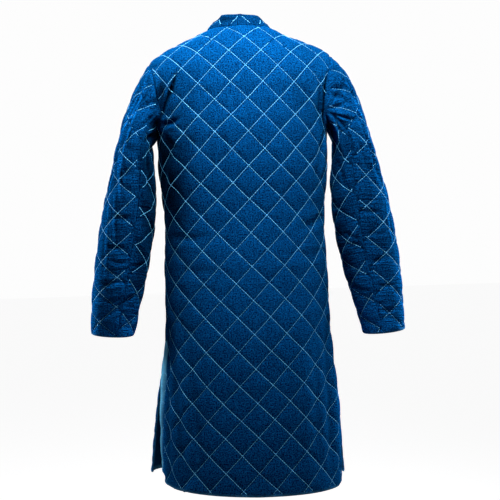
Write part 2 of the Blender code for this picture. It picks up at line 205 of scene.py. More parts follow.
# The cloth's uneven waves: how wide and how high each kind is, and its seed.
WAVES = {
    "wobble_across": (0.07, 0.07, 10),
    "wobble_up": (0.07, 0.07, 30),
    "uneven": (0.045, 0.045, 50),
    "upright": (0.0052, 0.034, 60),
    "upright_wide": (0.0090, 0.06, 70),
    "level": (0.034, 0.0052, 80),
    "level_wide": (0.06, 0.0090, 90),
    "patches": (0.05, 0.05, 100),
    "pucker": (0.0066, 0.0066, 110),
    "broad": (0.12, 0.16, 120),
}
WOBBLE = 0.0014
PUFF = 0.0029
PUFF_REACH = 0.0070
PUFF_ROUND = 0.0014
PUFF_UNEVEN = 0.22
STITCH_SINK = 0.0011
# The cloth lies level at its edges, and its inner face puffs by this part of the outer one's height.
LEVEL_EDGE = 0.006
INNER_PUFF = 0.45
# The crinkles' height, on the sleeves and elsewhere, with their wide kind's share, the least share of
# them between patches, the share of level ones on the sleeves and low on the other pieces, the places up
# the cut between which these begin, and how much the patches differ.
SLEEVE_CRINKLE = 0.00042
CRINKLE = 0.00045
WIDE_CRINKLE = 0.6
LEAST_CRINKLE = 0.35
SLEEVE_LEVEL = 0.75
LOW_LEVEL = 0.55
LOW_LEVEL_HEIGHTS = (-0.20, -0.45)
PATCHINESS = 0.9
# The height of the puckers beside the stitch lines, how far off they are, and the broad waves' height.
PUCKER = 0.00035
PUCKER_REACH = 0.006
BROAD_WAVE = 0.0011
# The sharp part of the groove along each stitch line: how far it reaches, and its depth in millimetres.
GROOVE_REACH = 0.0030
GROOVE_SINK = 1.1
# The stitches: their thickness, their length and the gap between two, each with its unevenness.
THREAD = 0.0013
STITCH = 0.0050
STITCH_GAP = 0.0007
STITCH_START = 0.003
STITCH_SHIFT = 0.0003
STITCH_UNEVEN = (0.92, 1.06)
# How near an edge the stitching stops, how far the stitches stand up, and how deep their ends go.
STITCH_MARGIN = 0.004
STITCH_RAISED = 0.00035
STITCH_SUNK = 0.0003
# The parts of a stitch between which it is at its thickest.
STITCH_BODY = (0.10, 0.90)
# How much thinner the back's first family of stitches gets, and the heights between which it does.
THREAD_THIN = 0.42
THREAD_THIN_HEIGHTS = (-0.30, -0.65)

NOISE_CELLS = 256


# ---- Small helpers ---------------------------------------------------------------------------------
def smooth(table, key, column, at):
    """The table's column at the values of its key, on a smooth curve through the rows."""
    keys = np.array(table[key], float)
    values = np.array(table[column], float)
    if keys[0] > keys[-1]:
        keys, values = keys[::-1], values[::-1]
    slopes = np.gradient(values, keys)
    at = np.clip(at, keys[0], keys[-1])
    i = np.clip(np.searchsorted(keys, at, "right") - 1, 0, len(keys) - 2)
    span = keys[i + 1] - keys[i]
    t = (at - keys[i]) / span
    ends = values[i] * (1 + 2 * t) * (1 - t) ** 2 + values[i + 1] * t * t * (3 - 2 * t)
    return ends + span * t * (1 - t) * (slopes[i] * (1 - t) - slopes[i + 1] * t)


def unit(vectors):
    return vectors / np.maximum(np.linalg.norm(vectors, axis=-1, keepdims=True), 1e-12)


def bezier(controls, t):
    a, b, c, d = controls
    return a * (1 - t) ** 3 + 3 * b * t * (1 - t) ** 2 + 3 * c * t * t * (1 - t) + d * t**3


def eased(t):
    """0 to 1 with level ends, as t runs from 0 to 1."""
    t = np.clip(t, 0, 1)
    return t * t * (3 - 2 * t)


def placed(side, points, flat):
    """A half's or a sleeve's points and flat coordinates, on its own side of the body."""
    return (points, flat) if side == "left" else (mirrored(points), flat * (-1, 1))


def mirrored(points):
    return points * np.array((-1.0, 1.0, 1.0))


def kind_of(name):
    """Back, front, sleeve or collar."""
    return name.split("_")[0]


def between(table, i, j, i2, j2, part_i, part_j):
    """The table's values at these parts of the way from its cell (i, j) to its cell (i2, j2)."""
    low = table[i, j] * (1 - part_i) + table[i2, j] * part_i
    high = table[i, j2] * (1 - part_i) + table[i2, j2] * part_i
    return low * (1 - part_j) + high * part_j


def noise(x, y, seed):
    """Smooth noise between -1 and 1, with cells 1 wide."""
    table = np.random.default_rng(seed).uniform(-1, 1, (NOISE_CELLS, NOISE_CELLS))
    i, j = np.floor(x).astype(int), np.floor(y).astype(int)
    fx, fy = eased(x - i), eased(y - j)
    i, j = i % NOISE_CELLS, j % NOISE_CELLS
    return between(table, i, j, (i + 1) % NOISE_CELLS, (j + 1) % NOISE_CELLS, fx, fy)


def grid_normals(points):
    return unit(np.cross(np.gradient(points, axis=1), np.gradient(points, axis=0)))


def lengths_along(points, axis=0):
    """Distance along the grid's lines from their first point."""
    steps = np.linalg.norm(np.diff(points, axis=axis), axis=-1)
    start = np.zeros_like(np.take(steps, [0], axis=axis))
    return np.concatenate([start, np.cumsum(steps, axis=axis)], axis=axis)


def along_line(places, lengths, line):
    """The line's columns at places along it, which has these lengths at its points."""
    return np.stack([np.interp(places, lengths, column) for column in line.T], axis=-1)


# ---- The trunk's form ------------------------------------------------------------------------------
QUARTER_ANGLES = np.linspace(0, math.pi / 2, 400)


def quarter_shares():
    x = TRUNK["half_width"][0] * np.sin(QUARTER_ANGLES) ** (2 / TRUNK_SQUARENESS)
    y = TRUNK["back_depth"][0] * np.cos(QUARTER_ANGLES) ** (2 / TRUNK_SQUARENESS)
    length = lengths_along(np.stack([x, y], axis=-1))
    return length / length[-1], length[-1]


QUARTER_SHARES, QUARTER_LENGTH = quarter_shares()


def ring_parts(share):
    """Parts of the half width and of the depth, at this share of a quarter of the way round."""
    angle = np.interp(share, QUARTER_SHARES, QUARTER_ANGLES)
    return [np.clip(part, 0, 1) ** (2 / TRUNK_SQUARENESS) for part in (np.sin(angle), np.cos(angle))]


def share_at(part):
    angle = np.arcsin(np.clip(part, 0, 1) ** (TRUNK_SQUARENESS / 2))
    return np.interp(angle, QUARTER_ANGLES, QUARTER_SHARES)


def trunk_points(panel, side, share, place):
    """Points on the outer face, mirrored to +X, from their share of the way round and their place up."""
    back = panel == "back"
    height = np.minimum(place, ROOF_FOOT)
    half_width = smooth(TRUNK, "height", "half_width", height)
    depth = smooth(TRUNK, "height", "back_depth" if back else "front_depth", height)
    opened = np.clip((SLIT_TOP - place) / (SLIT_TOP - BACK_HEM), 0, None) ** SLIT_OPENING
    spread_out, spread_back = SLIT_SPREAD[panel]
    side_y = spread_back * opened
    across, forward = ring_parts(share)
    x = (half_width + spread_out * opened) * across
    y = side_y + ((depth if back else -depth) - side_y) * forward
    turn = np.clip((place - ROOF_FOOT) / ROOF_RUN, 0, 1) * math.pi / 2
    ridge = smooth(RIDGE, "across", side, x)
    y = y * np.clip(np.cos(turn), 0, 1) ** (2 / ROOF_SQUARENESS)
    risen = ROOF_FOOT + (ridge - ROOF_FOOT) * np.sin(turn) ** (2 / ROOF_SQUARENESS)
    return np.stack([x, y, np.where(place <= ROOF_FOOT, place, risen)], axis=-1)


def top_edge(panel, u):
    """Share and place of the panel's top edge: half the neckline, then the shoulder seam."""
    back = panel == "back"
    roof_depth = TRUNK["back_depth" if back else "front_depth"][0]
    roof_width = TRUNK["half_width"][0]
    angle = np.clip(u / NECK_PART, 0, 1) * math.pi / 2
    share = share_at(NECK_HALF_WIDTH * np.sin(angle) / roof_width)
    depth = (NECK_BACK if back else NECK_FRONT) * np.cos(angle)
    part = np.clip(depth / (roof_depth * ring_parts(share)[1]), 0, 1)
    lift = np.arccos(part ** (ROOF_SQUARENESS / 2)) / (math.pi / 2)
    tip_share = share_at(SHOULDER_HALF_WIDTH / roof_width)
    neck_share = share_at(NECK_HALF_WIDTH / roof_width)
    along = (u - NECK_PART) / (1 - NECK_PART)
    on_shoulder = u > NECK_PART
    share = np.where(on_shoulder, neck_share + (tip_share - neck_share) * along, share)
    return np.stack([share, ROOF_FOOT + ROOF_RUN * np.where(on_shoulder, 1, lift)], axis=-1)


def underarm_line(share):
    return UNDERARM - UNDERARM_DIP * (1 - share**4)


def armhole_curve(panel, v):
    controls = ((1.0, UNDERARM), *ARMHOLE[kind_of(panel)], top_edge(panel, np.array(1.0)))
    return bezier([np.array(control) for control in controls], v)


def panel_places(panel, side, u, rows):
    """Share and place of half a panel's points: u across, and three lists of parts of its stretches."""
    skirt, upper, yoke = (np.array(part)[:, None] for part in rows)
    hem = BACK_HEM if panel == "back" else FRONT_HEM
    start = hem + HEM_SIDE_RISE[side] * u
    if panel == "back":
        corner = np.clip((u - CORNER_START) / (1 - CORNER_START), 0, 1)
        start = start + CORNER_RISE * (1 - np.sqrt(1 - corner**2))
    line = underarm_line(u)
    places = np.concatenate([start + (SLIT_TOP - start) * skirt, SLIT_TOP + (line - SLIT_TOP) * upper])
    body = np.stack([np.broadcast_to(u, places.shape), places], axis=-1)
    v = yoke[..., None]
    foot, top = np.stack([u, line], axis=-1), top_edge(panel, u)
    straight = (1 - v) * np.array((1.0, UNDERARM)) + v * top_edge(panel, np.array(1.0))
    bent = u[:, None] * (armhole_curve(panel, v) - straight)
    return np.concatenate([body, (1 - v) * foot + v * top + bent])


def with_edge_rows(cells, length, at_start=True, at_end=True, apart=SEAM_GAP):
    """Parts of a stretch from 0 to 1, even, but with closer ones beside its ends that are edges."""
    parts = np.linspace(0, 1, cells + 1)
    near = np.array(EDGE_ROWS) / length
    gap = apart / 2 / length
    if at_start:
        parts = np.concatenate([[gap], near, parts[parts > near[-1] * EDGE_ROOM]])
    if at_end:
        parts = np.concatenate([parts[parts < 1 - near[-1] * EDGE_ROOM], 1 - near[::-1], [1 - gap]])
    return parts


def flat_places(panel, side, places):
    """Distances across from the centre line and up from the shoulder blades, along the cloth."""
    shares = np.linspace(0, 1, FLAT_COLUMNS)
    heights = np.linspace(FLAT_START, ROOF_FOOT + ROOF_RUN, FLAT_ROWS)
    table = trunk_points(panel, side, shares[None, :], heights[:, None])
    out, up = lengths_along(table, 1), lengths_along(table)
    up = up - up[int(np.searchsorted(heights, ROOF_FOOT))]
    column = np.clip(places[..., 0], 0, 1) * (FLAT_COLUMNS - 1)
    row = np.clip((places[..., 1] - heights[0]) / (heights[1] - heights[0]), 0, FLAT_ROWS - 1)
    j = np.minimum(column.astype(int), FLAT_COLUMNS - 2)
    i = np.minimum(row.astype(int), FLAT_ROWS - 2)
    return np.stack([between(t, i, j, i + 1, j + 1, row - i, column - j) for t in (out, up)], axis=-1)


def half_panel(panel, side):
    """Points and flat coordinates of the half of a panel on one side."""
    u = with_edge_rows(CELLS_HALF, QUARTER_LENGTH, at_start=panel != "back")
    skirt = with_edge_rows(CELLS_SKIRT, SLIT_TOP - BACK_HEM, at_end=False)[:-1]
    upper = np.linspace(0, 1, CELLS_SIDE + 1)[:-1]
    yoke = with_edge_rows(CELLS_ARMHOLE, YOKE_LENGTH, at_start=False)
    places = panel_places(panel, side, u, (skirt, upper, yoke))
    points = trunk_points(panel, side, places[..., 0], places[..., 1])
    return placed(side, points, flat_places(panel, side, places))


# ---- Sleeves and collar ----------------------------------------------------------------------------
def arm_centre(sleeve, height):
    x = smooth(sleeve, "height", "centre_x", height)
    y = smooth(sleeve, "height", "centre_y", height)
    return np.stack([x, y, height + np.zeros_like(x)], axis=-1)


def sleeve_rings(sleeve, heights, turns):
    """Points round the sleeve, square to the arm, at these heights and turns from its outer side."""
    axis = unit(arm_centre(sleeve, heights - ARM_STEP) - arm_centre(sleeve, heights + ARM_STEP))
    side = unit(np.array((1.0, 0.0, 0.0)) - axis * axis[..., :1])
    rear = np.cross(side, axis)
    width = np.cos(turns) * smooth(sleeve, "height", "half_width", heights)
    depth = np.sin(turns) * smooth(sleeve, "height", "half_depth", heights)
    return arm_centre(sleeve, heights) + width[..., None] * side + depth[..., None] * rear


def armhole_points(side, turns):
    """The armhole seam at these turns: down the back from the shoulder tip, then up the front."""
    turns = turns % (2 * math.pi)
    halves = (("back", 1 - turns / math.pi), (f"front_{side}", turns / math.pi - 1))
    curves = [(panel, armhole_curve(panel, np.clip(part, 0, 1)[..., None])) for panel, part in halves]
    on_back, on_front = (trunk_points(panel, side, at[..., 0], at[..., 1]) for panel, at in curves)
    return np.where((turns <= math.pi)[..., None], on_back, on_front)


def sleeve_patch(side):
    """Points and flat coordinates of a sleeve, from its seam round the arm to its seam again."""
    sleeve = SLEEVES[side]
    top, cuff = sleeve["height"][0], sleeve["height"][-1]
    cap_parts = with_edge_rows(CELLS_CAP, CAP_LENGTH, at_end=False)[:-1]
    arm_parts = with_edge_rows(CELLS_ARM, top - cuff, at_start=False)
    parts = np.concatenate([cap_parts, 1 + arm_parts])[:, None]
    down = np.clip((parts - SEAM_STEADY) / (2 - SEAM_STEADY), 0, 1)
    seam = SLEEVE_SEAM_TURNS[0] + (SLEEVE_SEAM_TURNS[1] - SLEEVE_SEAM_TURNS[0]) * down
    round_it = with_edge_rows(CELLS_ROUND, SLEEVE_GIRTH, apart=SLEEVE_SEAM_GAP)
    turns = seam - 2 * math.pi * round_it[None, :]
    heights = top + (cuff - top) * np.clip(parts - 1, 0, 1) + np.zeros_like(turns)
    points = sleeve_rings(sleeve, heights, turns)
    rows = len(cap_parts)
    turns = turns[:rows]
    armhole, ring = armhole_points(side, turns), points[:rows]
    arriving = unit(ring - sleeve_rings(sleeve, heights[:rows] - ARM_STEP, turns))
    upper = (1 + np.cos(turns)) / 2
    out, up = (upper * high + (1 - upper) * low for high, low in zip(sleeve["cap_start"], CAP_START_UNDER))
    leaving = unit(np.stack([out, CAP_START_REAR * np.sin(turns), up], axis=-1))
    reach = np.linalg.norm(ring - armhole, axis=-1, keepdims=True) * CAP_REACH
    controls = (armhole, armhole + leaving * reach, ring + arriving * reach, ring)
    points[:rows] = bezier(controls, parts[:rows, :, None])
    return placed(side, points, sleeve_flat(points, rows))


def sleeve_flat(points, cap_rows):
    """The sleeve's cone opened out flat about the line that faces its seam."""
    round_it, down = lengths_along(points, 1), lengths_along(points)
    girth = round_it[:, -1:]
    down = down - down[cap_rows]
    length = down[-1].mean()
    cone = (girth[cap_rows, 0] - girth[-1, 0]) / length
    radius = girth[-1, 0] / cone + length - down
    part = round_it / girth - 0.5
    part[:cap_rows] = part[cap_rows]
    up = radius * np.cos(cone * part) - radius[cap_rows].mean()
    return np.stack([-radius * np.sin(cone * part), up], axis=-1)


def neckline():
    """The neck's edge as points, from its left end round the back to its right end."""
    halves = []
    u = np.linspace(0, 1, CELLS_COLLAR_ROUND // 4 + 1) * NECK_PART
    for side in SIDES:
        front, back = (trunk_points(panel, side, *np.moveaxis(top_edge(panel, u), -1, 0))
                       for panel in (f"front_{side}", "back"))
        halves.append(np.concatenate([front, back[::-1][1:]]))
    return np.concatenate([halves[0], mirrored(halves[1])[::-1][1:]])


def collar_patch():
    """Points and flat coordinates of the collar, from its left end round the back to its right end."""
    line = neckline()
    lengths = lengths_along(line)
    parts = with_edge_rows(CELLS_COLLAR_ROUND, lengths[-1])
    line = along_line(parts, lengths / lengths[-1], line)
    centre = (line.min(0) + line.max(0)) / 2
    height = COLLAR_HEIGHT + COLLAR_SIDE_RISE * line[:, :1] / NECK_HALF_WIDTH
    rise = height * np.array((0.0, -math.sin(COLLAR_TILT), math.cos(COLLAR_TILT)))
    up = with_edge_rows(CELLS_COLLAR, COLLAR_HEIGHT)[:, None, None]
    scale = 1 + (COLLAR_TAPER - 1) * up * np.array((1, 1, 0))
    points = centre + (line - centre) * scale + rise * up
    flat_across = (0.5 - parts) * lengths[-1] + np.zeros((len(up), 1))
    neck_up = flat_places("back", "left", top_edge("back", np.array([0.0])))[0, 1]
    flat_up = neck_up + COLLAR_HEIGHT * up[..., 0] + np.zeros_like(flat_across)
    return points, np.stack([flat_across, flat_up], axis=-1)


# ---- Folds -----------------------------------------------------------------------------------------
# All these tables are in millimetres. A row starts with its curve's first end, its bend and its last
# end, each as a place, then its half width.
CURVE_POINTS = 97
# A curve reaches this many half widths, and its strength fades to its ends by this power.
CURVE_REACH = 5
CURVE_FADE = 0.8
CURVE_ENDS = (0.02, 0.98)
# How much faster than its push a dent's shade grows towards its middle.
DENT_SHADE_GROWTH = 1.5

# Furrows (depth above 0) and swells (below 0): flat places across and up the piece, the half width and
# the depth. Swelling sides go with each furrow.
FOLDS = {
    "back": (
        # The hanging folds from the shoulder blades to the armholes.
        (200, 52, 190, 4, 204, -40, 8, 3),
        (212, -58, 182, -68, 150, -50, 5, 4.8),
        (212, -80, 190, -100, 160, -124, 6, 4.5),
        (160, -80, 168, -156, 200, -250, 11, -6),
        (-226, 55, -196, 2, -206, -70, 6.5, 3),
        (-188, 55, -172, -4, -184, -90, 8, 4),
        (-222, -70, -188, -120, -166, -205, 9, 4),
        # The slits' edges, flaring.
        (277, -545, 300, -750, 306, -1080, 10, -8.2),
        (260, -575, 274, -680, 282, -860, 8.5, 4),
        (-277, -580, -296, -700, -304, -900, 9.5, -5),
        # Faint upright pleats down the middle of the back.
        (34, 30, 24, -30, 22, -110, 5, 1.6),
        (-2, -20, -6, -80, 4, -160, 4.5, 1.4),
        (58, -60, 50, -130, 56, -220, 6, 1.4),
        (-60, -120, -52, -200, -58, -290, 6, 1.2),
        # Level wrinkles at the waist.
        (205, -312, 140, -330, 85, -318, 9, 2.2),
        (-222, -270, -155, -296, -100, -318, 9, 2.4),
        (-200, -362, -140, -372, -80, -360, 10, 1.8),
        (190, -392, 130, -402, 60, -396, 10, 1.6),
        # The skirt's soft upright folds.
        (250, -420, 236, -650, 226, -920, 18, 6.5),
        (212, -540, 184, -680, 166, -900, 13, 5),
        (152, -500, 138, -670, 126, -880, 14, 3.4),
        (-262, -480, -250, -680, -238, -920, 16, 7.5),
        (-206, -540, -180, -690, -190, -880, 13, 5),
        (-160, -520, -142, -690, -150, -860, 13, 3.6),
        (-226, -520, -216, -700, -214, -900, 15, -4.5),
    ),
    "front_left": (
        (152, 48, 176, 0, 200, -55, 7.5, 6),
        (206, -85, 180, -110, 150, -140, 7, 3.5),
        (200, -440, 205, -640, 210, -890, 26, 7),
        (120, -520, 122, -700, 124, -890, 34, -5),
        (190, -330, 120, -352, 60, -336, 11, 2.6),
        (60, -560, 52, -700, 58, -860, 16, 3.4),
    ),
    "front_right": (
        (-156, 46, -182, -4, -204, -60, 8, 5.5),
        (-210, -90, -186, -120, -150, -150, 7, 3.5),
        (-205, -480, -210, -670, -215, -890, 27, 6.5),
        (-196, -300, -130, -326, -70, -318, 11, 2.8),
        (-110, -540, -104, -690, -108, -850, 18, 3.6),
    ),
    "sleeve_left": (
        # Bunching down the outer side, from the shoulder to the elbow.
        (136, 176, 134, 116, 130, 51, 4.5, 3.8),
        (138, 154, 145, 87, 155, 24, 5, 3.6),
        (130, 51, 118, -4, 102, -76, 5, 4),
        (135, 20, 137, -31, 142, -85, 5, -4.5),
        (144, 172, 143, 110, 141, 45, 3.6, -3),
        (152, 110, 151, 50, 147, -20, 3.6, -3),
        (110, 110, 112, 50, 100, -20, 6, 4),
        (146, 20, 170, -12, 192, -3, 9, 2.8),
        (146, -45, 166, -60, 185, -55, 8, 2.4),
        # Pulls from the armhole.
        (190, 150, 170, 130, 158, 92, 4.5, 4.2),
        (200, 105, 190, 76, 176, 40, 5, 4),
        (-160, 70, -184, 38, -182, 0, 6, 4.8),
        (-150, 20, -172, -19, -168, -50, 5.5, 3.5),
        (-136, -10, -162, -58, -164, -100, 5.5, 3.5),
        # The ridges where the inner side turns away.
        (-180, -50, -164, -112, -118, -180, 12, -5),
        (-168, -160, -156, -205, -104, -280, 11, -4.2),
        # Level wrinkles from the elbow to the cuff.
        (110, -138, 140, -163, 166, -152, 4.8, 2),
        (100, -208, 130, -232, 158, -218, 5, 2.1),
        (120, -250, 138, -262, 158, -256, 4, 1.6),
        (92, -296, 122, -314, 150, -300, 4.6, 1.9),
        (100, -346, 124, -352, 146, -342, 4.2, 1.7),
        (86, -390, 112, -388, 138, -371, 4.2, 1.6),
        (-160, -262, -146, -272, -120, -250, 4.2, 1.6),
        (-150, -350, -138, -346, -112, -322, 4.2, 1.6),
        # The front's, in the bend of the elbow.
        (-85, -80, -30, -104, 40, -90, 6, 5),
        (-70, -118, 0, -140, 60, -112, 5.5, 4.6),
        (-50, -172, 10, -186, 70, -160, 5.5, 3.6),
        (-90, 60, -62, 10, -70, -50, 7, 4),
    ),
    "sleeve_right": (
        # Bunching down the outer side, from the shoulder to the elbow.
        (-117, 195, -136, 137, -162, 41, 4.5, 3.8),
        (-162, 41, -144, -15, -115, -94, 5, 3.8),
        (-122, 171, -151, 102, -161, -12, 5, 3.4),
        (-186, 34, -170, -25, -145, -81, 5.5, 3.4),
        (-104, 120, -118, 50, -100, -40, 6, 4),
        (-146, 30, -132, -30, -118, -60, 5, -4),
        (-128, 185, -144, 120, -166, 40, 3.6, -3),
        (-168, 60, -158, 0, -136, -80, 3.6, -3),
        # Pulls from the armhole.
        (-206, 98, -187, 109, -156, 112, 4.6, 6),
        (-210, 86, -196, 74, -160, 56, 4.6, 6.2),
        (-176, 172, -164, 156, -140, 150, 4.8, 5.8),
        (-180, 160, -170, 136, -158, 104, 4.6, 5.2),
        (160, 76, 175, 50, 172, 22, 5, 4.2),
        (138, 22, 160, -7, 160, -40, 5.5, 3.6),
        (148, -24, 164, -61, 166, -106, 5.5, 3.6),
        # The ridges where the inner side turns away.
        (184, -60, 166, -100, 138, -146, 11, -4),
        (176, -168, 152, -208, 116, -260, 11, -4),
        # Level wrinkles from the elbow to the cuff.
        (-180, -146, -162, -164, -130, -152, 4.8, 2.1),
        (-160, -206, -136, -214, -104, -196, 4.4, 1.7),
        (-158, -266, -144, -279, -110, -256, 4.6, 1.9),
        (-146, -330, -126, -338, -96, -326, 4.4, 1.7),
        (-142, -390, -132, -399, -100, -384, 4.2, 1.7),
        (132, -190, 150, -216, 164, -218, 4.6, 1.9),
        (110, -322, 130, -342, 148, -342, 4.4, 1.7),
        # The front's, in the bend of the elbow.
        (80, -76, 24, -98, -46, -88, 6, 5),
        (64, -122, -6, -140, -60, -118, 5.5, 4.4),
        (86, 64, 64, 14, 76, -46, 7, 4),
    ),
    "collar": (
        (82, 204, 58, 196, 28, 200, 4.2, 3.4),
        (70, 191, 10, 188, -60, 192, 3, 1.8),
        (-36, 206, -60, 198, -88, 203, 4.2, 2.8),
        (-140, 190, -165, 200, -180, 207, 4, 2.4),
        (145, 205, 165, 198, 190, 191, 4, 2.4),
    ),
}
# How strong a furrow's swelling sides are, and how many half widths off.
FOLD_SIDES = (0.30, 2.3)
# The fine ridges of the cloth that bunches down the sleeves' outer sides: flat places on each sleeve,
# the half width and the crest's strength. The furrow beside a ridge has its own strength and place.
BUNCHES = {
    "sleeve_left": (
        (124, 215, 150, 120, 106, 30, 2.4, 1.25),
        (108, 200, 128, 110, 100, 10, 2.5, 1.05),
        (130, 190, 168, 100, 148, 0, 2.3, 1.25),
        (150, 160, 152, 70, 106, -20, 2.3, 1.15),
        (136, 110, 126, 50, 116, -10, 2.2, 0.9),
        (156, 70, 150, -10, 134, -70, 2.6, 1.1),
        (141, 0, 134, -60, 142, -120, 3, 0.85),
        (129, 50, 98, -10, 90, -80, 2.3, 0.8),
        (108, -20, 104, -90, 112, -160, 3, 0.75),
        (128, -90, 124, -160, 132, -230, 2.9, 0.6),
        (106, -150, 114, -220, 110, -300, 3, 0.5),
    ),
    "sleeve_right": (
        (-147, 190, -122, 130, -152, 50, 2.3, 0.7),
        (-138, 125, -152, 60, -112, 10, 2.2, 0.75),
        (-142, 98, -140, 20, -96, -48, 2.3, 0.8),
        (-116, 120, -100, 60, -86, -10, 2.5, 0.8),
        (-122, -20, -104, -80, -98, -160, 2.6, 0.75),
        (-108, -110, -110, -180, -100, -250, 2.9, 0.6),
    ),
}
BUNCH_SIDES = (0.48, 2.0)
BUNCH_LOWEST = -0.40
# Dents across the seams of the armholes: places in space, the half width, the push at the middle on
# each axis, the painted shade there, and the kind of piece that it moves, or nothing for all.
DENTS = (
    # The left armhole's crease, the slack beside it and the hollow under it, all with painted shade, and
    # the sleeve's bulge below.
    (151, 87, -108, 163, 98, -153, 192, 50, -222, 6.4, 2, -13, 0, 0.97, ""),
    (186, 70, -126, 191, 68, -165, 199, 50, -205, 12.5, 0, -9, 0, 0.62, ""),
    (199, 62, -200, 210, 56, -246, 214, 28, -290, 16, 0, -24, 0, 1, ""),
    (222, 52, -208, 212, 50, -240, 220, 36, -276, 13.5, -18, 0, 0, 0, "sleeve"),
    # The right armhole's crease with painted shade, the painted shade beside it, and the sleeve's fullness
    # on the other side.
    (-204, 46, -100, -175, 92, -166, -190, 50, -254, 6.6, 2, -13, 0, 1, ""),
    (-190, 66, -110, -172, 92, -176, -182, 60, -256, 13, 0, -2, 0, 0.4, "back"),
    (-206, 34, -200, -216, 32, -250, -234, 22, -330, 24, 3, 35, 0, 0, "sleeve"),
    # The collar's corners, which lean in, with painted shade, a slight dent with painted shade left of its
    # middle, and the back's left slit.
    (52, 34, 34, 78, 4, 36, 66, -34, 30, 17, -13, 0, -6, 0.42, ""),
    (-52, 34, 30, -76, 4, 31, -64, -34, 26, 15, 6, 0, -3, 0.36, ""),
    (52, 30, 16, 30, 52, 24, 2, 50, 24, 9, 0, -2, 0, 0.5, "collar"),
    (200, 3, -780, 218, 4, -970, 206, 6, -1160, 30, -6, 0, 0, 0, "back"),
    # The front's creases, with painted shade.
    (206, -40, -110, 176, -76, -190, 206, -10, -258, 9, 3, 9, 0, 0.4, ""),
    (-207, -40, -100, -178, -78, -186, -204, -8, -258, 8.5, -3, 8, 0, 0.4, ""),
)
# The same without a push: only painted shade.
SHADES = (
    # The shade on the sleeves' heads.
    (214, 40, -75, 232, 50, -130, 246, 55, -200, 30, 0.34, "sleeve"),
    (-215, 40, -75, -236, 45, -120, -246, 50, -180, 30, 0.24, "sleeve"),
    # The shade over the shoulder blades' sides, on the right shoulder and on the skirt's left side.
    (140, 95, -90, 146, 100, -160, 150, 100, -230, 38, 0.2, "back"),
    (-140, 95, -90, -146, 100, -160, -150, 100, -230, 38, 0.18, "back"),
    (-100, 70, -50, -150, 70, -70, -190, 60, -90, 28, 0.15, "back"),
    (175, 100, -740, 186, 90, -880, 180, 90, -1100, 40, 0.24, "back"),
    # The deep shade between the body and the left arm, on both.
    (182, 48, -215, 192, 36, -320, 192, 26, -440, 19, 0.84, "back"),
    (226, 60, -270, 211, 40, -380, 220, 20, -490, 15, 0.7, "sleeve"),
)
# How much painted shade darkens the cloth deep in a fold, and painted highlight lightens it on a ridge, and
# the depth for that.
FOLD_SHADE = 0.34
FOLD_SHADE_DEPTH = 0.0060
# How much painted shade darkens the cloth where the arm and the body face each other, on the left and
# the right, the heights from which and to which it is, and the turn towards the other that starts and ends
# it.
FACING_SHADE = {"back": (0.90, 0.05), "front_left": (0.40, 0.40), "front_right": (0.20, 0.20),
                "sleeve_left": (0.74, 0.74), "sleeve_right": (0.34, 0.34), "collar": (0.0, 0.0)}
FACING_HEIGHTS = {"back": (-0.22, -0.27, -0.36, -0.60)}
OTHER_FACING_HEIGHTS = (-0.23, -0.29, -0.54, -0.70)
FACING_TURN = {"back": (0.26, 0.72), "front": (0.18, 0.82), "sleeve": (0.10, 0.70), "collar": (0.2, 0.8)}


def curve_of(row, axes):
    """A row's curve as points, its half width, both in metres, and the rest of the row."""
    start, bend, end = np.reshape(row[: 3 * axes], (3, axes)) / 1000
    t = np.linspace(0, 1, CURVE_POINTS)[:, None]
    line = start * (1 - t) ** 2 + 2 * bend * t * (1 - t) + end * t * t
    return line, row[3 * axes] / 1000, *row[3 * axes + 1 :]


def curve_shares(line, half_width, places):
    """Which places lie near the curve, how far off in half widths, and how strong the curve is there."""
    reach = CURVE_REACH * half_width
    near = ((places > line.min(0) - reach) & (places < line.max(0) + reach)).all(-1)
    distance = np.linalg.norm(places[near][:, None] - line, axis=-1)
    along = distance.argmin(1) / (len(line) - 1)
    strength = np.sin(math.pi * np.clip(along, *CURVE_ENDS)) ** CURVE_FADE
    return near, distance.min(1) / half_width, strength


def ridge_shape(distance, sides):
    """A ridge's height at this distance from its crest, in half widths, with its sides below 0."""
    strength, place = sides
    return np.exp(-(distance**2)) - strength * np.exp(-((distance - place) ** 2))


def dents_at(name, points, kept):
    """How the dents push each of the piece's points, and how much painted shade they give it."""
    pushes, shade = np.zeros_like(points), np.zeros(points.shape[:2])
    for row in DENTS + SHADES:
        line, half_width, *push, depth, on = curve_of(row, 3)
        if not name.startswith(on):
            continue
        near, d, strength = curve_shares(line, half_width, points)
        share = strength * np.exp(-(d**2)) * (kept[near] if on else 1)
        if push:
            pushes[near] += share[:, None] * (np.array(push) / 1000)
        shade[near] = np.maximum(shade[near], depth * eased(DENT_SHADE_GROWTH * share))
    return pushes, shade


def facing_shade(name, points, normals):
    """How much painted shade each point gets for facing the arm or the body beside it."""
    strength = np.where(points[..., 0] > 0, *FACING_SHADE[name])
    turned = normals[..., 0] * np.sign(points[..., 0]) * (-1 if kind_of(name) == "sleeve" else 1)
    z = points[..., 2]
    high, full, fading, low = FACING_HEIGHTS.get(name, OTHER_FACING_HEIGHTS)
    beside = eased((high - z) / (high - full)) * eased((z - low) / (fading - low))
    start, full_turn = FACING_TURN[kind_of(name)]
    return strength * eased((turned - start) / (full_turn - start)) * beside


def fold_depths(name, flat):
    """How far the piece's folds press each of its points in."""
    pressed = np.zeros(flat.shape[:2])
    for row in FOLDS[name]:
        line, half_width, depth = curve_of(row, 2)
        near, d, strength = curve_shares(line, half_width, flat)
        pressed[near] += depth / 1000 * strength * ridge_shape(d, FOLD_SIDES)
    return pressed


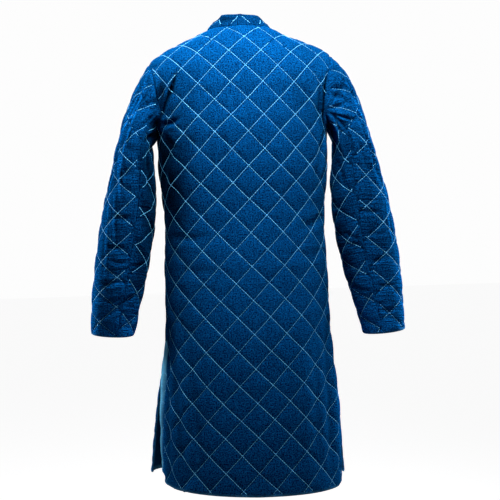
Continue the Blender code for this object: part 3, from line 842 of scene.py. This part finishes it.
def bunched(name, flat):
    """The fine ridges of bunched cloth on a sleeve: up to 1 at a crest, and below 0 beside it."""
    ridges = np.zeros(flat.shape[:2])
    for row in BUNCHES.get(name, ()):
        line, half_width, crest = curve_of(row, 2)
        near, d, strength = curve_shares(line, half_width, flat)
        share = crest * strength * ridge_shape(d, BUNCH_SIDES)
        ridges[near] = np.where(share > ridges[near], share, np.minimum(ridges[near], share + ridges[near]))
    return np.maximum(ridges, BUNCH_LOWEST)


# ---- The quilting ----------------------------------------------------------------------------------
def waves(name, kind, s, t):
    """The piece's own waves of this kind, from -1 to 1."""
    across, up, seed = WAVES[kind]
    return noise(s / across, t / up, seed + sorted(QUILT_PHASE).index(name))


def lattice_of(name, flat):
    """The two families of stitch lines run where either coordinate is a whole number."""
    across, up = flat[..., 0], flat[..., 1]
    start = QUILT_PHASE[name]
    s = across - start[0] + WOBBLE * waves(name, "wobble_across", across, up)
    t = (up - start[1]) / STRETCH[kind_of(name)] + WOBBLE * waves(name, "wobble_up", across, up)
    return np.stack([s + t, s - t], axis=-1) / DIAMOND


def puff_heights(name, flat, lattice):
    """Height of the outer face over its form: padded diamonds between sunk stitch lines, and puckers."""
    s, t = flat[..., 0], flat[..., 1]
    wave = {kind: waves(name, kind, s, t) for kind in WAVES}
    d = np.abs(lattice - np.round(lattice)) * DIAMOND_SIDE
    soft = np.sqrt(d**2 + PUFF_ROUND**2) - PUFF_ROUND
    rise = 1 - np.exp(-soft / PUFF_REACH)
    height = PUFF * rise[..., 0] * rise[..., 1] * (1 + PUFF_UNEVEN * wave["uneven"]) - STITCH_SINK
    upright, level = (wave[way] + WIDE_CRINKLE * wave[f"{way}_wide"] for way in ("upright", "level"))
    sleeve = kind_of(name) == "sleeve"
    high, low = LOW_LEVEL_HEIGHTS
    mostly_level = SLEEVE_LEVEL if sleeve else eased((high - t) / (high - low)) * LOW_LEVEL
    crinkle = (1 - mostly_level) * upright + mostly_level * level
    patchy = LEAST_CRINKLE + (1 - LEAST_CRINKLE) * eased(0.5 + PATCHINESS * wave["patches"])
    height += (SLEEVE_CRINKLE if sleeve else CRINKLE) * crinkle * patchy
    beside = np.exp(-((d.min(-1) - PUCKER_REACH) / PUCKER_REACH) ** 2)
    height += PUCKER * waves(name, "pucker", s + t, s - t) * beside
    return height + BROAD_WAVE * wave["broad"]


# ---- Patches to closed meshes ----------------------------------------------------------------------
def cut_patches():
    """Every piece of the coat, by name: its points and flat coordinates, before its folds."""
    patches = {}
    halves = []
    for side in SIDES:
        patches[f"front_{side}"] = half_panel(f"front_{side}", side)
        patches[f"sleeve_{side}"] = sleeve_patch(side)
        halves.append(half_panel("back", side))
    patches["back"] = tuple(np.concatenate([b[:, :0:-1], a], axis=1) for a, b in zip(*halves))
    patches["collar"] = collar_patch()
    return patches


def prepared(name, points, flat):
    """A patch as a dictionary, with its normals, its folds pressed in and its distances to its edges."""
    normals = outward(points)
    along, up = lengths_along(points, 1), lengths_along(points)
    edges = np.stack([along, along[:, -1:] - along, up, up[-1:] - up])
    kept = fold_mask(name, edges, flat)
    depths = fold_depths(name, flat) * kept
    pushes, shade = dents_at(name, points, kept)
    folded = points - normals * depths[..., None] + pushes
    # Painted shade deep in the folds and painted highlight on their ridges, over the dents' painted shade,
    # then the painted shade where arm and body face.
    shade = shade + FOLD_SHADE * np.sign(depths) * eased(np.abs(depths) / FOLD_SHADE_DEPTH)
    lit = 1 - np.clip(shade, -FOLD_SHADE, 1)
    shade = 1 - lit * (1 - facing_shade(name, points, normals))
    patch = {"name": name, "flat": flat, "edges": edges, "shade": shade}
    return {**patch, "points": folded, "normals": outward(folded)}


def fold_mask(name, edges, flat):
    """Folds die out at the seams, and run off the free edges."""
    left, right, low, high = edges
    kind = kind_of(name)
    if kind == "collar":
        sewn = edges.min(0)
    elif kind == "sleeve":
        sewn = np.minimum(np.minimum(left, right), low)
    else:
        in_slit = np.maximum(SLIT_FLAT - flat[..., 1], 0)
        sewn = np.minimum(np.minimum(left, right) + in_slit, high)
    return eased(sewn / FOLD_END[kind])


def outward(points):
    """The grid's normals, away from the hollow inside it."""
    normals = grid_normals(points)
    middle = points.mean(axis=(0, 1)) * HOLLOW
    return normals if (normals * (points - middle)).sum() > 0 else -normals


def border(shape):
    """Indices of the grid's border, as rows and columns."""
    on_it = np.zeros(shape, bool)
    on_it[[0, -1]] = True
    on_it[:, [0, -1]] = True
    return np.nonzero(on_it)


def share_seam_normals(patches):
    """Give the pieces one direction where they meet, so that their round edges face each other.

    Where a sleeve is sewn on, it counts as much as all the others there.
    """
    edges = {name: border(patch["points"].shape[:2]) for name, patch in patches.items()}
    rims = {
        name: (patch["points"][edges[name]], patch["normals"][edges[name]])
        for name, patch in patches.items()
    }
    for name, patch in patches.items():
        places = rims[name][0]
        sums = {True: np.zeros_like(places), False: np.zeros_like(places)}
        for other, (other_places, normals) in rims.items():
            distance = np.linalg.norm(places[:, None] - other_places, axis=-1)
            sewn = distance.min(1) < SEWN_REACH
            sums[kind_of(other) == "sleeve"][sewn] += normals[distance.argmin(1)[sewn]]
        spread_from_border(patch, edges[name], unit(unit(sums[True]) + unit(sums[False])))


def spread_from_border(patch, edge, common):
    """Turn the normals beside each edge towards the edge's own common ones."""
    normals = patch["normals"]
    change = np.zeros_like(normals)
    change[edge] = common - normals[edge]
    sides = (change[:, :1], change[:, -1:], change[:1], change[-1:])
    for side, distance in zip(sides, patch["edges"]):
        weight = np.clip(1 - distance / TURN_REACH, 0, 1) ** 2
        normals = normals + weight[..., None] * side * TURN_SHARE
    normals[edge] = common
    patch["normals"] = unit(normals)


def edge_round(distance, reach):
    """How far the face has turned in at this distance from the edge, to half the cloth's thickness."""
    inside = np.clip(1 - distance / reach, 0, 1)
    return CLOTH / 2 * (1 - np.sqrt(1 - inside**2))


def edge_reaches(name, flat):
    """How wide each edge's round is, on the left, right, low and high ones: a seam's is narrow."""
    seam, free = SEAM_ROUND, CLOTH / 2
    if kind_of(name) == "sleeve":
        return seam, seam, seam, free
    if name == "collar":
        return free, free, seam, free
    slit = np.where(flat[..., 1] < SLIT_FLAT, free, seam)
    return (slit if name == "back" else free), slit, free, seam


def rim_share(distance, width):
    return np.clip(RIM_FADE - distance / width, 0, 1)


def painted_rim_highlights(patch):
    """How much painted highlight each point gets along the edges: down the slits, along the hems and at the
    cuffs.
    """
    name, t = patch["name"], patch["flat"][..., 1]
    left, right, low, high = patch["edges"]
    if name == "collar":
        return np.zeros_like(t)
    if kind_of(name) == "sleeve":
        return OTHER_HEM_RIM * rim_share(high, RIM_WIDTH)
    down = np.clip((SLIT_FLAT - t) / RIM_TAPER, 0, 1)
    if name == "back":
        widths = [width + (RIM_TOP_WIDTH - width) * (1 - down) for width in (RIM_WIDTH, RIM_LEFT_WIDTH)]
        rim = rim_share(np.minimum(left / widths[0], right / widths[1]), 1)
    else:
        rim = rim_share(right, RIM_WIDTH) * (FRONT_RIM[0] + FRONT_RIM[1] * (1 - down))
    hem = OTHER_HEM_RIM if name == "back" else FRONT_HEM_RIM
    return np.maximum(eased((SLIT_FLAT - t) / RIM_START) * rim, hem * rim_share(low, RIM_WIDTH))


def faces_of(patch):
    """The outer and the inner face's points."""
    name, flat, normals = patch["name"], patch["flat"], patch["normals"]
    edge = patch["edges"].min(0)
    patch["lattice"] = lattice_of(name, flat)
    patch["bunching"] = bunched(name, flat)
    height = puff_heights(name, flat, patch["lattice"]) + BUNCH_HEIGHT * patch["bunching"]
    height *= eased(edge / LEVEL_EDGE)
    rounds = [edge_round(*pair) for pair in zip(patch["edges"], edge_reaches(name, flat))]
    turned = np.max(rounds, axis=0)
    on_border = border(edge.shape)
    turned[on_border] = CLOTH / 2
    height[on_border] = 0
    outer = patch["points"] + normals * (height - turned)[..., None]
    inner = patch["points"] - normals * (CLOTH + INNER_PUFF * height - turned)[..., None]
    return outer, inner


def quads_of(grid):
    return np.stack([grid[:-1, :-1], grid[:-1, 1:], grid[1:, 1:], grid[1:, :-1]], axis=-1)


def coarse(first, last):
    """Indices from first to last in steps of INNER_STEP, with the last one in place."""
    steps = list(range(first, last, INNER_STEP))
    if last - steps[-1] < INNER_STEP / 2 and len(steps) > 1:
        steps.pop()
    return [*steps, last]


def inner_faces(inside):
    """The inner face's loops: its fine quads beside the edges, and coarse cells inside them."""
    band = len(EDGE_ROWS)
    rows, columns = inside.shape
    fine = np.ones((rows - 1, columns - 1), bool)
    fine[band:-band, band:-band] = False
    loops = list(quads_of(inside.T).swapaxes(0, 1)[fine])
    row_steps, column_steps = coarse(band, rows - 1 - band), coarse(band, columns - 1 - band)
    for (i, i2), (j, j2) in product(pairwise(row_steps), pairwise(column_steps)):
        ring = [(i, k) for k in range(j2, j, -1)] + [(k, j) for k in range(i, i2)]
        ring += [(i2, k) for k in range(j, j2)] + [(k, j2) for k in range(i2, i, -1)]
        corners = set(product((i, i2), (j, j2)))
        loops.append([inside[place] for place in ring if place in corners
                      or place[0] in (band, rows - 1 - band) or place[1] in (band, columns - 1 - band)])
    return loops


def patch_mesh(patch):
    """A closed mesh: the fine outer face, and an inner face that is coarse away from its edges."""
    outer, inner = faces_of(patch)
    patch["outer"] = outer
    rows, columns = outer.shape[:2]
    index = np.arange(rows * columns).reshape(rows, columns)
    inside = index.copy()
    inside[1:-1, 1:-1] = rows * columns + np.arange((rows - 2) * (columns - 2)).reshape(rows - 2, -1)
    middle = (rows // 2, columns // 2)
    facing = grid_normals(outer)[middle] @ patch["normals"][middle]
    faces = [*quads_of(index).reshape(-1, 4), *inner_faces(inside)]
    if facing < 0:
        faces = [face[::-1] for face in faces]
    used, loops = np.unique(np.concatenate(faces), return_inverse=True)
    # The painted light: the edges' highlight, the painted shade with the ridges' highlight, and the bunched
    # crests that take a painted highlight.
    painted_light = np.stack([painted_rim_highlights(patch), patch["shade"], patch["bunching"]], axis=-1)
    values = {"quilt": both_faces(patch["lattice"]), "painted_light": both_faces(painted_light)}
    values["quilt"] = np.column_stack([values["quilt"], np.arange(len(values["quilt"])) >= rows * columns])
    points = both_faces(outer, inner)[used]
    return build_mesh(patch["name"], points, loops, [len(face) for face in faces],
                      {key: value[used] for key, value in values.items()})


def both_faces(outer, inner=None):
    """Values at the outer face's points, then at the inner one's that are not on its border."""
    inner = outer if inner is None else inner
    return np.concatenate([grid.reshape(-1, outer.shape[-1]) for grid in (outer, inner[1:-1, 1:-1])])


def build_mesh(name, points, loops, sizes, values=()):
    mesh = bpy.data.meshes.new(name)
    mesh.vertices.add(len(points))
    mesh.vertices.foreach_set("co", points.astype(np.float32).ravel())
    mesh.loops.add(len(loops))
    mesh.loops.foreach_set("vertex_index", loops.astype(np.int32))
    mesh.polygons.add(len(sizes))
    starts = np.concatenate([[0], np.cumsum(sizes)[:-1]])
    mesh.polygons.foreach_set("loop_start", starts.astype(np.int32))
    mesh.update(calc_edges=True)
    mesh.validate()
    mesh.shade_smooth()
    for key in values:
        attribute = mesh.attributes.new(key, "FLOAT_VECTOR", "POINT")
        attribute.data.foreach_set("vector", values[key].astype(np.float32).ravel())
    return shown(bpy.data.objects.new(name, mesh))


def shown(piece):
    """The object, linked to the scene."""
    bpy.context.scene.collection.objects.link(piece)
    return piece


# ---- Stitches --------------------------------------------------------------------------------------
def stitch_lines(patch):
    """The stitch lines on a piece's outer face, with their family: points and normals, row by row."""
    outer, edge = patch["outer"], patch["edges"].min(0)
    grid = np.concatenate([outer, outward(outer)], axis=-1)
    rows = len(grid)
    for family in (0, 1):
        values = patch["lattice"][..., family]
        flip = values[rows // 2, -1] < values[rows // 2, 0]
        if flip:
            values = values[:, ::-1]
        for level in range(math.ceil(values.min()), math.floor(values.max()) + 1):
            line = []
            for i in range(rows + 1):
                place = crossing(grid[i], edge[i], values[i], level, flip) if i < rows else None
                if place is not None:
                    line.append(place)
                    continue
                if len(line) > 2:
                    yield family, np.array(line)
                line = []


def crossing(grid, edge, values, level, flip):
    """Where a row of the grid crosses a stitch line, or None where it doesn't, or too near an edge."""
    if not values[0] < level < values[-1]:
        return None
    j = min(max(int(np.searchsorted(values, level)) - 1, 0), len(values) - 2)
    f = (level - values[j]) / max(values[j + 1] - values[j], 1e-9)
    f = min(max(f, 0.0), 1.0)
    if flip:
        j, f = len(values) - 2 - j, 1 - f
    if edge[j] < STITCH_MARGIN:
        return None
    return grid[j] * (1 - f) + grid[j + 1] * f


def stitches_on(patch):
    """One mesh of all the piece's stitches, each a short thread that dips in at its ends."""
    random = np.random.default_rng(len(patch["name"]))
    stitches = []
    for family, line in stitch_lines(patch):
        at = lengths_along(line[:, :3])
        begin = np.arange(random.uniform(0, STITCH_START), at[-1] - STITCH, STITCH + STITCH_GAP)
        begin = begin + random.uniform(-STITCH_SHIFT, STITCH_SHIFT, len(begin))
        if not len(begin):
            continue
        finish = begin + STITCH * random.uniform(*STITCH_UNEVEN, len(begin))
        starts, ends = along_line(begin, at, line), along_line(finish, at, line)
        widths = thread_widths(patch["name"], family, starts[:, 2])
        stitches.append(np.column_stack([starts, ends[:, :3], widths]))
    starts, normals, ends, widths = np.split(np.concatenate(stitches), (3, 6, 9), axis=1)
    return spindles(f"stitches_{patch['name']}", starts, ends, unit(normals), widths)


def thread_widths(name, family, heights):
    high, low = THREAD_THIN_HEIGHTS
    thinner = THREAD_THIN * eased((high - heights) / (high - low)) * (name == "back" and family == 0)
    return THREAD * (1 - thinner)


def spindles(name, starts, ends, normals, widths):
    """Four-sided threads between the starts and ends, pointed where they go into the cloth."""
    along = ends - starts
    sideways = unit(np.cross(along, normals)) * widths / 2
    lifted = normals * widths / 4
    rings = []
    for part in STITCH_BODY:
        centre = starts + along * part + normals * STITCH_RAISED
        rings += [centre + lifted, centre + sideways, centre - lifted, centre - sideways]
    points = np.stack([starts - normals * STITCH_SUNK, *rings, ends - normals * STITCH_SUNK], axis=1)
    tips = [(0, 2, 1), (0, 3, 2), (0, 4, 3), (0, 1, 4), (9, 5, 6), (9, 6, 7), (9, 7, 8), (9, 8, 5)]
    sides = [(1, 2, 6, 5), (2, 3, 7, 6), (3, 4, 8, 7), (4, 1, 5, 8)]
    base = np.arange(len(starts))[:, None] * points.shape[1]
    loops = np.concatenate([(base + np.ravel(faces)).ravel() for faces in (tips, sides)])
    sizes = np.repeat((3, 4), (len(starts) * len(tips), len(starts) * len(sides)))
    return build_mesh(name, points.reshape(-1, 3), loops, sizes)


# ---- Materials -------------------------------------------------------------------------------------
class Nodes:
    """A shader's nodes: each input, by name or number, is a value to set, or a socket to link."""

    def __init__(self, tree):
        self.tree = tree

    def add(self, kind, inputs=(), **settings):
        node = self.tree.nodes.new("ShaderNode" + kind)
        for key, value in settings.items():
            setattr(node, key, value)
        self.fill(node, dict(inputs))
        return node.outputs

    def fill(self, node, inputs):
        for key, value in inputs.items():
            if isinstance(value, bpy.types.NodeSocket):
                self.tree.links.new(value, node.inputs[key])
            else:
                node.inputs[key].default_value = value

    def maths(self, operation, *values):
        return self.add("Math", dict(enumerate(values)), operation=operation)[0]

    def times(self, *values):
        return self.chain("MULTIPLY", values)

    def plus(self, *values):
        return self.chain("ADD", values)

    def chain(self, operation, values):
        total = values[0]
        for value in values[1:]:
            total = self.maths(operation, total, value)
        return total

    def ranged(self, value, low, high, to_low, to_high):
        inputs = {"Value": value, "From Min": low, "From Max": high, "To Min": to_low, "To Max": to_high}
        return self.add("MapRange", inputs)["Result"]

    def mixed(self, factor, a, b, blend="MIX"):
        return self.add("Mix", {0: factor, 6: a, 7: b}, data_type="RGBA", blend_type=blend)[2]

    def noise(self, vector, scale, detail=2.0):
        return self.add("TexNoise", {"Vector": vector, "Scale": scale, "Detail": detail})[0]

    def streaks(self, vector, across, up):
        """Noise that is drawn out one way."""
        return self.noise(self.add("Mapping", {"Vector": vector, "Scale": (across, up, 1.0)})[0], 1.0)

    def split(self, vector):
        return self.add("SeparateXYZ", {0: vector})

    def attribute(self, name):
        return self.split(self.add("Attribute", attribute_name=name)["Vector"])

    def bump(self, height, distance, strength=1.0):
        return self.add("Bump", {"Height": height, "Distance": distance, "Strength": strength})[0]


def new_material(name):
    material = bpy.data.materials.new(name)
    material.use_nodes = True
    return material, Nodes(material.node_tree), material.node_tree.nodes["Principled BSDF"]


# The canvas: the scales of its speckles, coarse and fine, and of its blotches, and those of its slubs and
# its fine creases, across and along.
COARSE_SPECKLE = 330.0
FINE_SPECKLE = 620.0
BLOTCH = 22.0
SLUB = (520.0, 34.0)
CREASE = (190.0, 26.0)
# How much the coarse speckles and the upright and level slubs tell in the mottle, beside the fine
# speckles, the range of the mottle from the dark tint to the light one, and how much it tells as bump.
COARSE_SHARE = 1.7
SLUB_SHARES = (0.6, 0.4)
MOTTLE_RANGE = (1.56, 2.14)
MOTTLE_BUMP = 0.7
CANVAS_ROUGHNESS = (0.78, 0.95)
CANVAS_BUMP = 0.0010
# The weave: a thread's breadth, and its part of the bump.
WEAVE = 0.0012
WEAVE_BUMP = 0.15
# The bump of the upright and of the level creases, on the body and on the sleeves, which start this far
# out, and the heights between which the painted light at the cuffs comes in.
UPRIGHT_CREASES = (0.9, 0.3)
LEVEL_CREASES = (0.8, 5.2)
SLEEVE_OUT = (0.195, 0.235)
CUFF_HEIGHTS = (-0.50, -0.70)
# The painted shade's tone at the middle of a stitch line's groove, the distances between which it rises to
# 1, and the blotches'.
GROOVE_SHADE = 0.55
GROOVE_RISE = (0.0010, 0.0030)
BLOTCH_TONES = (0.92, 1.08)
# Each cloth's dark and light tints: the collar's darker ones are a painted shade.
TINTS = {
    "quilted_cotton": ((0.0001, 0.006, 0.040, 1.0), (0.0010, 0.082, 0.285, 1.0)),
    "collar_cotton": ((0.0001, 0.004, 0.020, 1.0), (0.0008, 0.042, 0.150, 1.0)),
}
LINING = (0.001, 0.016, 0.052, 1.0)
# The colour of the painted highlight on the edges.
RIM_HIGHLIGHT = (0.16, 0.62, 1.00, 1.0)
SHEEN_TINT = (0.0, 0.32, 1.0, 1.0)
SPECULAR_TINT = (0.02, 0.30, 1.0, 1.0)
THREAD_TINTS = ((0.09, 0.46, 1.00, 1.0), (0.15, 0.60, 1.00, 1.0))
THREAD_ROUGHNESS = (0.55, 0.75)
THREAD_MOTTLE = 160.0
THREAD_TWIST = 1800.0
# The part of a noise's range that most of it lies in: a wide one, and a narrow one.
WIDE = (0.2, 0.8)
NARROW = (0.3, 0.7)


def cotton(name):
    """Matt cotton canvas, with painted shade in the stitch lines, the folds and the creases, painted
    highlights on the edges and crests, and painted light at the cuffs.
    """
    material, nodes, shader = new_material(name)
    a, b, inner = nodes.attribute("quilt")
    rim, shade, bunching = nodes.attribute("painted_light")
    place = nodes.add("TexCoord")["Object"]
    on_sleeve, at_cuff = sleeve_shares(nodes, place)
    distances = [nodes.maths("PINGPONG", value, 0.5) for value in (a, b)]
    nearest = nodes.times(nodes.maths("MINIMUM", *distances), DIAMOND_SIDE)
    s = nodes.times(nodes.plus(a, b), DIAMOND / 2)
    t = nodes.times(nodes.maths("SUBTRACT", a, b), DIAMOND / 2)
    cloth = nodes.add("CombineXYZ", {0: s, 1: t, 2: 0.0})[0]
    fine = nodes.noise(cloth, FINE_SPECKLE, 1.0)
    mottle = canvas_mottle(nodes, cloth, fine)
    # The tone: painted shade in the grooves, blotches at random, painted shade and highlight from folds,
    # dents and facing sides, painted light at the cuffs, and a painted highlight on the bunched crests.
    tone = nodes.times(
        nodes.ranged(nearest, *GROOVE_RISE, GROOVE_SHADE, 1.0),
        nodes.ranged(nodes.noise(place, BLOTCH, 3.0), *NARROW, *BLOTCH_TONES),
        nodes.maths("SUBTRACT", 1.0, shade),
        # Painted light at the cuffs.
        nodes.ranged(at_cuff, 0.0, 1.0, 1.0, CUFF_PAINTED_LIGHT),
        nodes.maths("MULTIPLY_ADD", bunching, BUNCH_HIGHLIGHT - 1, 1.0),
    )
    grey = nodes.add("CombineColor", {0: tone, 1: tone, 2: tone})[0]
    base = nodes.mixed(nodes.ranged(mottle, *MOTTLE_RANGE, 0.0, 1.0), *TINTS[name])
    base = nodes.mixed(1.0, nodes.mixed(inner, base, LINING), grey, "MULTIPLY")
    height = nodes.plus(
        weave_height(nodes, s, t),
        nodes.times(mottle, MOTTLE_BUMP),
        *crease_heights(nodes, cloth, on_sleeve),
        nodes.times(nodes.maths("EXPONENT", nodes.times(nearest, -1 / GROOVE_REACH)), -GROOVE_SINK),
    )
    nodes.fill(shader, {
        # The edges' painted highlight over the base colour.
        "Base Color": nodes.mixed(rim, base, RIM_HIGHLIGHT),
        "Roughness": nodes.ranged(fine, *WIDE, *CANVAS_ROUGHNESS),
        "Normal": nodes.bump(height, CANVAS_BUMP),
        "Specular IOR Level": 0.0,
        "Specular Tint": SPECULAR_TINT,
        "Sheen Weight": 0.11,
        "Sheen Roughness": 0.45,
        "Sheen Tint": SHEEN_TINT,
    })
    return material


def sleeve_shares(nodes, place):
    """How much a place is on a sleeve, and how much it is at a cuff."""
    x, _, z = nodes.split(place)
    on_sleeve = nodes.ranged(nodes.maths("ABSOLUTE", x), *SLEEVE_OUT, 0.0, 1.0)
    return on_sleeve, nodes.times(on_sleeve, nodes.ranged(z, *CUFF_HEIGHTS, 0.0, 1.0))


def canvas_mottle(nodes, cloth, fine):
    """Speckles of two sizes, and slubs both ways."""
    return nodes.plus(
        nodes.times(nodes.noise(cloth, COARSE_SPECKLE, 1.0), COARSE_SHARE), fine,
        nodes.times(nodes.streaks(cloth, *SLUB), SLUB_SHARES[0]),
        nodes.times(nodes.streaks(cloth, *SLUB[::-1]), SLUB_SHARES[1]),
    )


def crease_heights(nodes, cloth, on_sleeve):
    """The fine creases up the cloth, and those across it, which are deeper on the sleeves."""
    ways = ((CREASE, UPRIGHT_CREASES), (CREASE[::-1], LEVEL_CREASES))
    return [
        nodes.times(nodes.streaks(cloth, *scales), nodes.ranged(on_sleeve, 0.0, 1.0, *heights))
        for scales, heights in ways
    ]


def weave_height(nodes, s, t):
    """The threads over and under each other, across and up the cloth."""
    over, under = (nodes.maths("SINE", nodes.times(way, 2 * math.pi / WEAVE)) for way in (s, t))
    return nodes.times(over, under, WEAVE_BUMP)


def thread_material():
    """Pale cotton thread with a twist."""
    material, nodes, shader = new_material("pale_thread")
    place = nodes.add("TexCoord")["Object"]
    mottle, twist = nodes.noise(place, THREAD_MOTTLE), nodes.noise(place, THREAD_TWIST)
    nodes.fill(shader, {
        "Base Color": nodes.mixed(nodes.ranged(mottle, *NARROW, 0.0, 1.0), *THREAD_TINTS),
        "Roughness": nodes.ranged(twist, *WIDE, *THREAD_ROUGHNESS),
        "Normal": nodes.bump(twist, 0.0002, 0.5),
        "Specular IOR Level": 0.3,
    })
    return material


# ---- The studio ------------------------------------------------------------------------------------
CAMERA_DISTANCE = 2.3
CAMERA_HEIGHT = -0.515
CAMERA_AZIMUTH = math.radians(5)
CAMERA_ROLL = math.radians(1.65)
# The focal length and the shift to the side in pixels of a picture, its width, and the sensor's in mm.
FOCAL_LENGTH = 978.7
CAMERA_SHIFT = 4.6
PICTURE_WIDTH = 500
SENSOR_WIDTH = 36
FLOOR_HEIGHT = -1.45
FLOOR_SIZE = 40
FLOOR_TINT = (0.40, 0.40, 0.41, 1.0)
FLOOR_ROUGHNESS = 0.9
WHITE = (1.0, 1.0, 1.0, 1.0)
# How bright the floor looks, and how bright the world is as light and as it looks.
FLOOR_GLOW = 0.93
WORLD_LIGHT = 0.05
WORLD_GLOW = 0.982


def make_camera():
    """From behind, a little to the wearer's left, level, and rolled a little."""
    data = bpy.data.cameras.new("camera")
    data.lens = SENSOR_WIDTH * FOCAL_LENGTH / PICTURE_WIDTH
    data.sensor_width = SENSOR_WIDTH
    camera = shown(bpy.data.objects.new("camera", data))
    out, back = math.sin(CAMERA_AZIMUTH), math.cos(CAMERA_AZIMUTH)
    camera.location = (CAMERA_DISTANCE * out, CAMERA_DISTANCE * back, CAMERA_HEIGHT)
    turn = math.atan(CAMERA_SHIFT / FOCAL_LENGTH)
    camera.rotation_euler = (math.pi / 2, CAMERA_ROLL, math.pi - CAMERA_AZIMUTH - turn)
    bpy.context.scene.camera = camera


# Each light: its place, what it points at, its size, its power and its beam's spread.
LIGHTS = {
    "overhead": ((-0.20, 0.56, 0.68), (0.0, 0.08, -0.12), 0.40, 7.3, 80),
    "rim_left": ((1.15, -0.46, -0.25), (0.3, 0.0, -0.40), 0.40, 6.0, 90),
    "shoulder": ((0.42, 0.34, 0.50), (0.15, 0.04, -0.04), 0.30, 0.55, 45),
    "rim_right": ((-1.15, -0.34, -0.25), (-0.3, 0.0, -0.40), 0.40, 6.5, 90),
    "front": ((0.2, -0.85, 0.65), (0.0, -0.08, -0.15), 0.50, 10.0, 90),
}


def make_lights():
    for name, (place, target, size, power, spread) in LIGHTS.items():
        data = bpy.data.lights.new(name, "AREA")
        data.shape = "DISK"
        data.size = size
        data.energy = power
        data.spread = math.radians(spread)
        light = shown(bpy.data.objects.new(name, data))
        light.location = place
        light.rotation_euler = (Vector(target) - Vector(place)).to_track_quat("-Z", "Y").to_euler()
        light.visible_camera = False


def make_surroundings():
    """A pale floor and a white world, which is dimmer as light than it looks."""
    bpy.ops.mesh.primitive_plane_add(size=FLOOR_SIZE, location=(0, 0, FLOOR_HEIGHT))
    floor = bpy.context.object
    floor.name = "floor"
    material, nodes, shader = new_material("pale_floor")
    glow = nodes.times(nodes.add("LightPath")["Is Camera Ray"], FLOOR_GLOW)
    nodes.fill(shader, {"Base Color": FLOOR_TINT, "Roughness": FLOOR_ROUGHNESS})
    nodes.fill(shader, {"Emission Color": WHITE, "Emission Strength": glow})
    floor.data.materials.append(material)
    world = bpy.data.worlds.new("studio")
    world.use_nodes = True
    bpy.context.scene.world = world
    nodes = Nodes(world.node_tree)
    strength = nodes.ranged(nodes.add("LightPath")["Is Camera Ray"], 0.0, 1.0, WORLD_LIGHT, WORLD_GLOW)
    nodes.fill(world.node_tree.nodes["Background"], {"Color": WHITE, "Strength": strength})
    bpy.context.scene.view_settings.view_transform = "Standard"


def make_coat():
    materials = {slot: cotton(slot) for slot in (CLOTH_SLOT, COLLAR_SLOT)}
    thread = thread_material()
    patches = {name: prepared(name, *patch) for name, patch in cut_patches().items()}
    share_seam_normals(patches)
    for name, patch in patches.items():
        slot = COLLAR_SLOT if name == "collar" else CLOTH_SLOT
        piece = patch_mesh(patch)
        piece.name = f"{name}_cloth"
        piece.data.materials.append(materials[slot])
        stitches = stitches_on(patch)
        stitches.data.materials.append(thread)
        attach(piece, BODY)
        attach(stitches, BODY)
        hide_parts(name)


make_camera()
make_lights()
make_surroundings()
make_coat()
